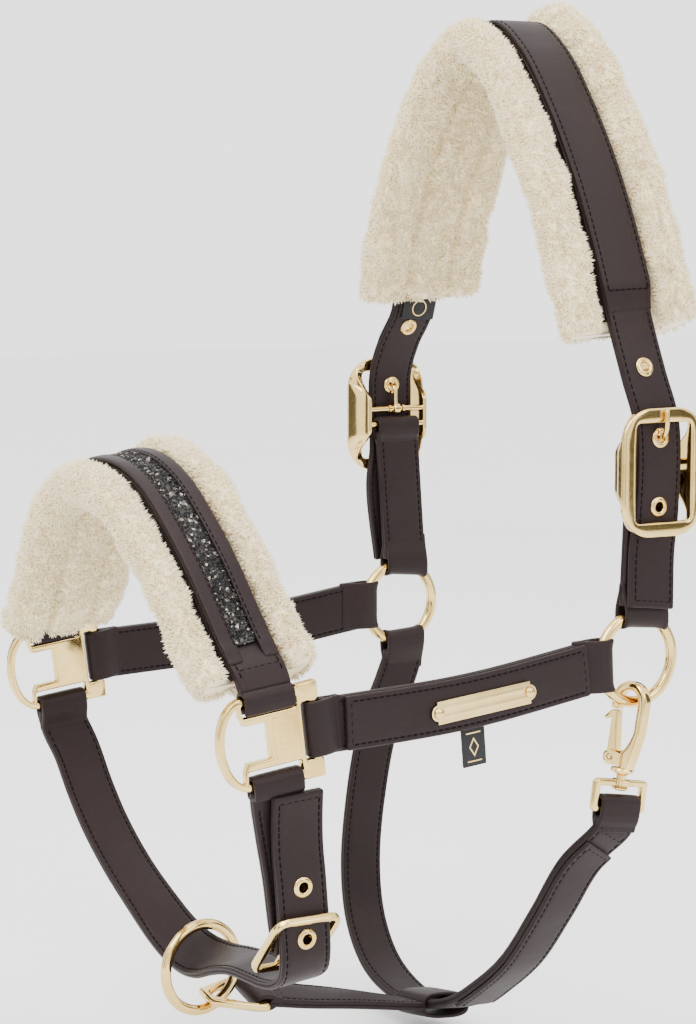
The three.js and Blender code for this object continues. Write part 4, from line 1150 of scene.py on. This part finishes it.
CHIN_BUCKLE_AT = np.array((103.9, -184.5, -113.0))
CHIN_DOWN, CHIN_OUT = unit((-0.69, 0, -0.724)), unit((0.724, 0, -0.69))
basis = np.array((CHIN_DOWN, np.cross(CHIN_OUT, CHIN_DOWN), CHIN_OUT))
loop, faces = frame_loop((40.4, 34, 7), (34.4, 26.6, 2.0), 3.4, 0.5)
bar = tube([CHIN_BUCKLE_AT + basis[1] * y for y in (-15, 0, 15)], BAR_RADIUS)
metal("chin_buckle", [(CHIN_BUCKLE_AT + loop @ basis, faces), bar])
wire = [(1.9, 0), (5, -1.2), (9, -2.9), (13, -3.4), (18, -3.4), (25, -3.4)]
prong = tube([CHIN_BUCKLE_AT + CHIN_DOWN * x + CHIN_OUT * y for x, y in wire], 1.2)
metal("chin_prong", [prong, collar(1.9, 3.1, 0.5, 1.6, CHIN_BUCKLE_AT, basis[1])], "chin_tongue")

short_top = near_slot - FITTING_UP * FOLD_REACH
short_next = short_top - FITTING_UP * 2.5 - (0.6, 0, 0)
short_end = CHIN_BUCKLE_AT + (0.3, -0.3, BAR_WRAP / 2 + LEATHER / 2)
short = line([
    short_top, short_next, (108.8, -196, -51), (107.6, -193.6, -62), (106.8, -190, -80),
    (105.4, -186.6, -100), short_end + (0.4, -0.4, 4), short_end,
], lambda c: (0, 1, 0.12 * max(0, (c[2] - short_end[2]) / (short_top[2] - short_end[2]))))
folds = [fitting_fold(1, SLOT_MIDDLE, -SLOT_BAR, -FITTING_UP, WIDTH, 6.0)]
for y in (7.4, -7.4):
    folds.append(band(teardrop(BAR_WRAP, BAR_WRAP, 8), 9.6, CHIN_BUCKLE_AT + (0, y, 0), (0, 0, 1), (1, 0, 0)))
strap("near_chin_strap", short, WIDTH, STRAP, seam_ends=(6, 4), ends=(-9,), extra=folds)

# ---------- throat ----------
SNAP_AT, SNAP_LEAN = np.array((RING_X, -2.2, -20.7)), 0.16
SNAP_UP = unit((0, SNAP_LEAN, 1))
THROAT_WIDTH = 23
EYE_TOP, EYE_WIRE, EYE_HEIGHT = -39.0, 3.2, 16.0
EYE_BAR = EYE_TOP - EYE_HEIGHT + EYE_WIRE
EYE_FOLD = EYE_WIRE + 2 * GAP + 0.2


def on_snap(v):
    return SNAP_AT + SNAP_UP * v


def eye_fold():
    """The strap stands loosely in the eye, well above its bar."""
    outline = teardrop(EYE_FOLD, EYE_FOLD, 10)
    outline[outline[:, 0] < 0.3, 0] -= 3.0
    return outline


throat_top = on_snap(EYE_BAR - EYE_FOLD / 2 - LEATHER / 2)
throat = line([
    (-RING_X, 2.2, -RING_REACH), (-RING_X, 2.2, -RING_REACH - 5), (-105.5, -4, -44), (-102, -16, -66),
    (-96.5, -27, -100), (-92.5, -33, -138), (-83, -35.5, -166), (-66, -36.5, -185), (-42, -36.5, -194.5),
    (-14, -36.5, -194.5), (14, -36, -186), (40, -36, -170), (63, -34.5, -151), (82.5, -31, -124),
    (96, -24.5, -98.5), throat_top - (1, 1, 6), throat_top,
], lambda c: (0, 1, -0.14 * math.exp(-(((c[0] + 15) / 40) ** 2))))
folds = [
    ring_fold(-1, -math.pi / 2, THROAT_WIDTH, 2.2),
    band(eye_fold(), THROAT_WIDTH, on_snap(EYE_BAR), -SNAP_UP, (1, 0, 0)),
]
strap("throat_strap", throat, THROAT_WIDTH, STRAP, seam_ends=(5, 4), ends=(18, -10), extra=folds)
outer = throat.cut(lambda c: c[0] > 22 and c[2] < throat_top[2] - 14)
cover("throat_cover", outer, THROAT_WIDTH, (2.5, -2.5))

# ---------- chin link and back stay ----------
LINK_FRONT, LINK_BACK = np.array((0, -174.7, -166.3)), np.array((0, -150.2, -168.0))
LINK = {"wire": 4.0, "base": 34.4, "tip": 15.0, "roll": 0.24}
link_along = unit(LINK_BACK - LINK_FRONT)
link_reach = np.linalg.norm(LINK_BACK - LINK_FRONT)
link_up = np.array((LINK["roll"], 0, 1.0))
link_up = unit(link_up - link_along * link_up.dot(link_along))
link_side = np.cross(link_along, link_up)


def link_outline(inset):
    tip, base = LINK["tip"] / 2 - inset, LINK["base"] / 2 - inset
    front, back = inset - LINK["wire"] / 2, link_reach + LINK["wire"] / 2 - inset
    half = [(front, tip - 2.4), (front + 0.7, tip - 0.7), (front + 2.4, tip), (back - 2.6, base),
            (back - 0.8, base - 0.6), (back, base - 2.4)]
    return half + [(x, -y) for x, y in reversed(half)]


outlines = [link_outline(0), link_outline(LINK["wire"])]
link_plate = plate(outlines, LINK["wire"], 1.45, (link_along, -link_side, link_up), LINK_FRONT)
metal("chin_link", [link_plate], "link", 30)

STAY_WIDTH, LOOP_LENGTH = 24, 26.5
LOOP_AT, LOOP_ALONG = np.array((-15, -36.5, -194.5)), unit((-0.1, 0.98, -0.14))
link_wrap = LINK["wire"] + 2 * GAP
stay_start = LINK_BACK + link_along * (link_wrap / 2 + 0.75 * LEATHER)
stay_end = LOOP_AT - LOOP_ALONG * (LOOP_LENGTH / 2 + LEATHER / 2)
stay = line(
    [stay_start, (-1, -125, -173.5), (-5, -95, -180.5), stay_end],
    lambda c: (1, 0, -LINK["roll"] + 0.36 * max(0, (c[1] + 147) / 100)),
)


def throat_loop():
    """The stay's end as an oval tube round the throat strap."""
    reach, rise = LOOP_LENGTH / 2 + LEATHER / 2, 9 / 2 + LEATHER / 2
    outline = []
    for k in range(64):
        a = 2 * math.pi * k / 64
        x, y = math.cos(a), math.sin(a)
        outline.append((reach * math.copysign(abs(x) ** 0.75, x), rise * math.copysign(abs(y) ** 0.55, y)))
    return band(outline[::-1], STAY_WIDTH, LOOP_AT, LOOP_ALONG, (-0.12, 0, 1))


link_fold = band(teardrop(link_wrap, link_wrap, 10), STAY_WIDTH, LINK_BACK, link_along, link_up)
strap("back_stay", stay, STAY_WIDTH, STRAP, seam_ends=(6, 3), ends=(10, -7), extra=[link_fold, throat_loop()])

# ---------- snap hook ----------
yaw = math.radians(16)
snap_across = np.array((math.cos(yaw), math.sin(yaw), 0))
snap_across = unit(snap_across - SNAP_UP * snap_across.dot(SNAP_UP))
snap_through = np.cross(snap_across, SNAP_UP)
SNAP_BASIS = np.array((snap_across, SNAP_UP, snap_through))
PIVOT = (-6.2, -27.5)


def arc(x, y, radius, start, end, steps=20):
    return ellipse(x, y, radius, radius, start, end, steps)


def bend(a, b, c, steps=8):
    """A quadratic curve's later points."""
    a, b, c = (np.array(p, float) for p in (a, b, c))
    stops = np.linspace(0, 1, steps + 1)[1:]
    return [tuple((1 - t) ** 2 * a + 2 * t * (1 - t) * b + t * t * c) for t in stops]


hook = [(-5, -33), (5, -33), *bend((5, -33), (7.5, -24), (9.6, -14)), (9.8, 0), *arc(0, 0, 9.8, 0, math.pi),
        (-9.8, -4.2), (-5.6, -4.5), (-5.5, 0), *arc(0, 0, 5.5, math.pi, 0), (5.3, -14),
        *bend((5.3, -14), (3.6, -20), (0.6, -23.2)), (-1, -24.4), (-1, -31.2)]
lug = arc(*PIVOT, 3.5, math.pi / 2, 1.5 * math.pi, 12)
cheek = [(0.5, -31), (0.5, -25), (PIVOT[0], PIVOT[1] + 3.5), *lug]
PLATE_OUT = 6.4 / 2 + 0.6 - 0.4
pin_hole = arc(*PIVOT, 1.4, 0, 2 * math.pi, 16)
parts = [plate([hook], 6.4, 1.5, SNAP_BASIS, SNAP_AT)]
for out in (-1, 1):
    parts.append(plate([cheek, pin_hole], 1.2, 0.3, SNAP_BASIS, SNAP_AT + snap_through * out * PLATE_OUT))
post_end = EYE_TOP - EYE_WIRE / 2 - GAP
post = [(0.01, -32), (5.4, -32), (5.8, -32.8), (5.4, -33.9), (3.4, -34.6), (2.4, -35.4)]
head = [(2.4, 0), (3.4, 0), (4.0, -0.5), (3.9, -1.2), (3.0, -1.7), (0.01, -1.8)]
parts.append(lathe(post + [(r, post_end + h) for r, h in head], SNAP_AT, SNAP_UP))
metal("snap_hook", parts, "hook", 30)

gate = [(-4.2, -29.4), (-3.6, -25.6), (-6.1, -5.2), (-9.3, -5.2), (-13.2, -9), (-12.4, -10.2), (-8.9, -8.4),
        (-8.9, -27.5), *bend((-8.9, -27.5), (-8.4, -30.4), (-6.2, -30.4))]
gate_thick = 2 * (PLATE_OUT - 0.6 - GAP)
metal("snap_gate", [plate([gate, pin_hole], gate_thick, 0.6, SNAP_BASIS, SNAP_AT)], "gate", 30)
pin_at = SNAP_AT + np.array((*PIVOT, 0)) @ SNAP_BASIS
end = PLATE_OUT + 0.6
profile = [(0.7, -end), (1.1, 0.3 - end), (1.1, end - 0.3), (0.7, end)]
metal("snap_gate_pin", [lathe(profile, pin_at, snap_through, 24)], "hook", 30)
spring = NODES["snap_spring"].data.materials
spring.clear()
spring.append(STEEL)

eye_middle = EYE_TOP - EYE_HEIGHT / 2 + EYE_WIRE / 2
basis = np.array((unit((0, 1, -SNAP_LEAN)), SNAP_UP, (1, 0, 0)))
window = rounded(31 - 2 * EYE_WIRE, EYE_HEIGHT - 2 * EYE_WIRE, 1)
eye = plate([rounded(31, EYE_HEIGHT, 2.5), window], EYE_WIRE + 0.4, 0.8, basis, on_snap(eye_middle))
metal("snap_eye", [eye, collar(2.7, 4.4, 0.4, 1.6, on_snap(EYE_TOP), SNAP_UP)], crease=30)


# ---------- nameplate, rivets, tag and label ----------
def on_cheek(path, y, out, up=0.0):
    i = int(np.searchsorted(path.centre[:, 1], y))
    a, b = path.centre[i - 1], path.centre[i]
    spot = a + (b - a) * (y - a[1]) / (b[1] - a[1])
    return spot + path.out[i - 1] * out - path.side[i - 1] * up, path.tangent[i - 1], path.out[i - 1]


lo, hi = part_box("nameplate")
middle = np.array((lo + hi) / 2) * 1000 + (0, 0, POLL_ABOVE_RINGS)
plate_out = unit((0.99925, 0.03881, 0.00057))
front, rear = (np.array(sum(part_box(f"nameplate_rivet_{end}"), Vector()) / 2) for end in ("front", "rear"))
plate_along = unit(rear - front)
plate_out = unit(plate_out - plate_along * plate_out.dot(plate_along))
plate_up = np.cross(plate_along, -plate_out)
plate_up = plate_up if plate_up[2] > 0 else -plate_up
basis = np.array((plate_along, plate_up, plate_out))
PLATE_END, PLATE_HALF, RIVET_AT, EAR = 26, 5.3, 25.5, 3.8
corner = math.acos((PLATE_END - RIVET_AT) / EAR)
shape = [
    (-PLATE_END, -PLATE_HALF), (PLATE_END, -PLATE_HALF), *arc(RIVET_AT, 0, EAR, -corner, corner, 12),
    (PLATE_END, PLATE_HALF), (-PLATE_END, PLATE_HALF),
    *arc(-RIVET_AT, 0, EAR, math.pi - corner, math.pi + corner, 12),
]
drills = [arc(x, 0, 1.4, 0, 2 * math.pi, 16) for x in (-RIVET_AT, RIVET_AT)]
parts = [plate([shape, *drills], 0.9, 0.25, basis, middle)]
# A plain raised border; the plate is left without an inscription.
border = [rounded(46, 8.6, 0.8), rounded(45.2, 7.8, 0.5)]
parts.append(plate(border, 0.3, 0.08, basis, middle + plate_out * 0.45))
metal("nameplate", parts, crease=30, look=PALE_GOLD)
profile = [(0.01, -3.2), (1.1, -3.2), (1.1, 0), (2.6, 0), (2.55, 0.4), (2.2, 0.9), (1.5, 1.3), (0.7, 1.48),
           (0.01, 1.5)]
for end, along in (("front", -RIVET_AT), ("rear", RIVET_AT)):
    spot = middle + plate_along * along + plate_out * 0.75
    metal(f"nameplate_rivet_{end}", [lathe(profile, spot, plate_out)])

tag_at, tag_along, tag_out = on_cheek(cheeks["near"], -97, 0, -12.5 - GAP - 9)
tag_up = unit(np.cross(tag_along, tag_out))
tag_up = tag_up if tag_up[2] > 0 else -tag_up
basis = np.array((tag_along, tag_up, tag_out))
points, faces = plate([rounded(13, 18, 0.5)], 0.9, 0.3, basis, tag_at)
solid("woven_tag_cloth", points, faces, WOVEN, "root", ["woven_tag"], 30)
parts = []
for flip in (-1, 1):
    surface = tag_at + tag_out * flip * 0.42
    diamond = [(0, 4.6), (2.7, 0), (0, -4.6), (-2.7, 0)]
    parts.append(plate([diamond, [(x * 0.72, y * 0.72) for x, y in diamond]], 0.24, 0.05, basis, surface))
    for y in (-6.6, 6.6):
        parts.append(plate([rounded(8, 0.6, 0.2, (0, y))], 0.24, 0.05, basis, surface))
points, faces = gather(parts)
solid("woven_tag_thread", points, faces, PALE_GOLD, crease=30)

spot, outward, across = at_height(crown, 160.6, -1)
label_at = spot - outward * (BILLET / 2 + GAP + 0.35) + across * 2.2
basis = np.array((across, unit(np.cross(outward, across)), outward))
points, faces = plate([rounded(20, 12.4, 0.5)], 0.7, 0.2, basis, label_at)
solid("crown_label_cloth", points, faces, WOVEN, "root", ["crown_label"], 30)
ring_line = [arc(0, 0, r, 0, 2 * math.pi, 32) for r in (4.4, 3.9)]
points, faces = plate(ring_line, 0.2, 0.05, basis, label_at - outward * 0.33)
solid("crown_label_thread", points, faces, PALE_GOLD, crease=30)


# ---------- floor and light ----------
def staged(name, points, shade_scale, detail, dark, light):
    """A flat four-cornered sheet of the set, with its shader."""
    mesh = bpy.data.meshes.new(name)
    mesh.from_pydata(points, [], [(0, 1, 2, 3)])
    sheet = placed(name, mesh)
    material, tree, shader, place = new_material(name)
    shade = noise_texture(tree, place, shade_scale, detail)
    set_inputs(tree, shader, {"Base Color": ramp(tree, shade, (0, (dark,) * 3), (1, (light,) * 3))})
    mesh.materials.append(material)
    return sheet, shader


def studio():
    lo, hi = cad_box
    middle = (Vector(lo) + Vector(hi)) / 2
    reach, level = 6.0, lo[2] - 0.004
    corners = [(-reach, -reach, level), (reach, -reach, level), (reach, reach, level), (-reach, reach, level)]
    shader = staged("floor", corners, 4, 2, 0.93, 0.96)[1]
    shader.inputs["Roughness"].default_value = 0.9

    world = bpy.data.worlds.new("studio")
    bpy.context.scene.world = world
    world.use_nodes = True
    background = world.node_tree.nodes["Background"]
    background.inputs["Color"].default_value = (1.0, 1.0, 1.0, 1)
    background.inputs["Strength"].default_value = 2.4

    def face_middle(obj, azimuth, elevation, distance):
        way = bearing(azimuth, elevation)
        obj.location = middle + way * distance
        obj.rotation_euler = way.to_track_quat("Z", "Y").to_euler()

    lamps = (("key", 20, 50, 1.6, 0.9, 18), ("side", 110, 30, 1.6, 0.8, 7), ("top", 60, 85, 1.5, 1.0, 10))
    for name, azimuth, elevation, distance, size, power in lamps:
        data = bpy.data.lights.new(name, "AREA")
        data.size = size
        data.energy = power
        face_middle(placed(name, data), azimuth, elevation, distance)

    # Dark cards that only reflections see, so that polished metal has something dark in it.
    cards = [(-135, 0.9), (-80, 0.9), (-35, 0.7), (5, 0.5), (36, 0.36), (78, 0.36), (104, 0.34), (130, 0.5),
             (160, 0.8), (200, 0.9)]
    for number, (azimuth, wide) in enumerate(cards):
        x, y = wide / 2, 0.75
        corners = [(-x, -y, 0), (x, -y, 0), (x, y, 0), (-x, y, 0)]
        card = staged(f"card_{number}", corners, 3, 1, 0.02, 0.04)[0]
        face_middle(card, azimuth, 4, 2.2)
        card.visible_camera = False
        card.visible_diffuse = False
        card.visible_shadow = False


studio()
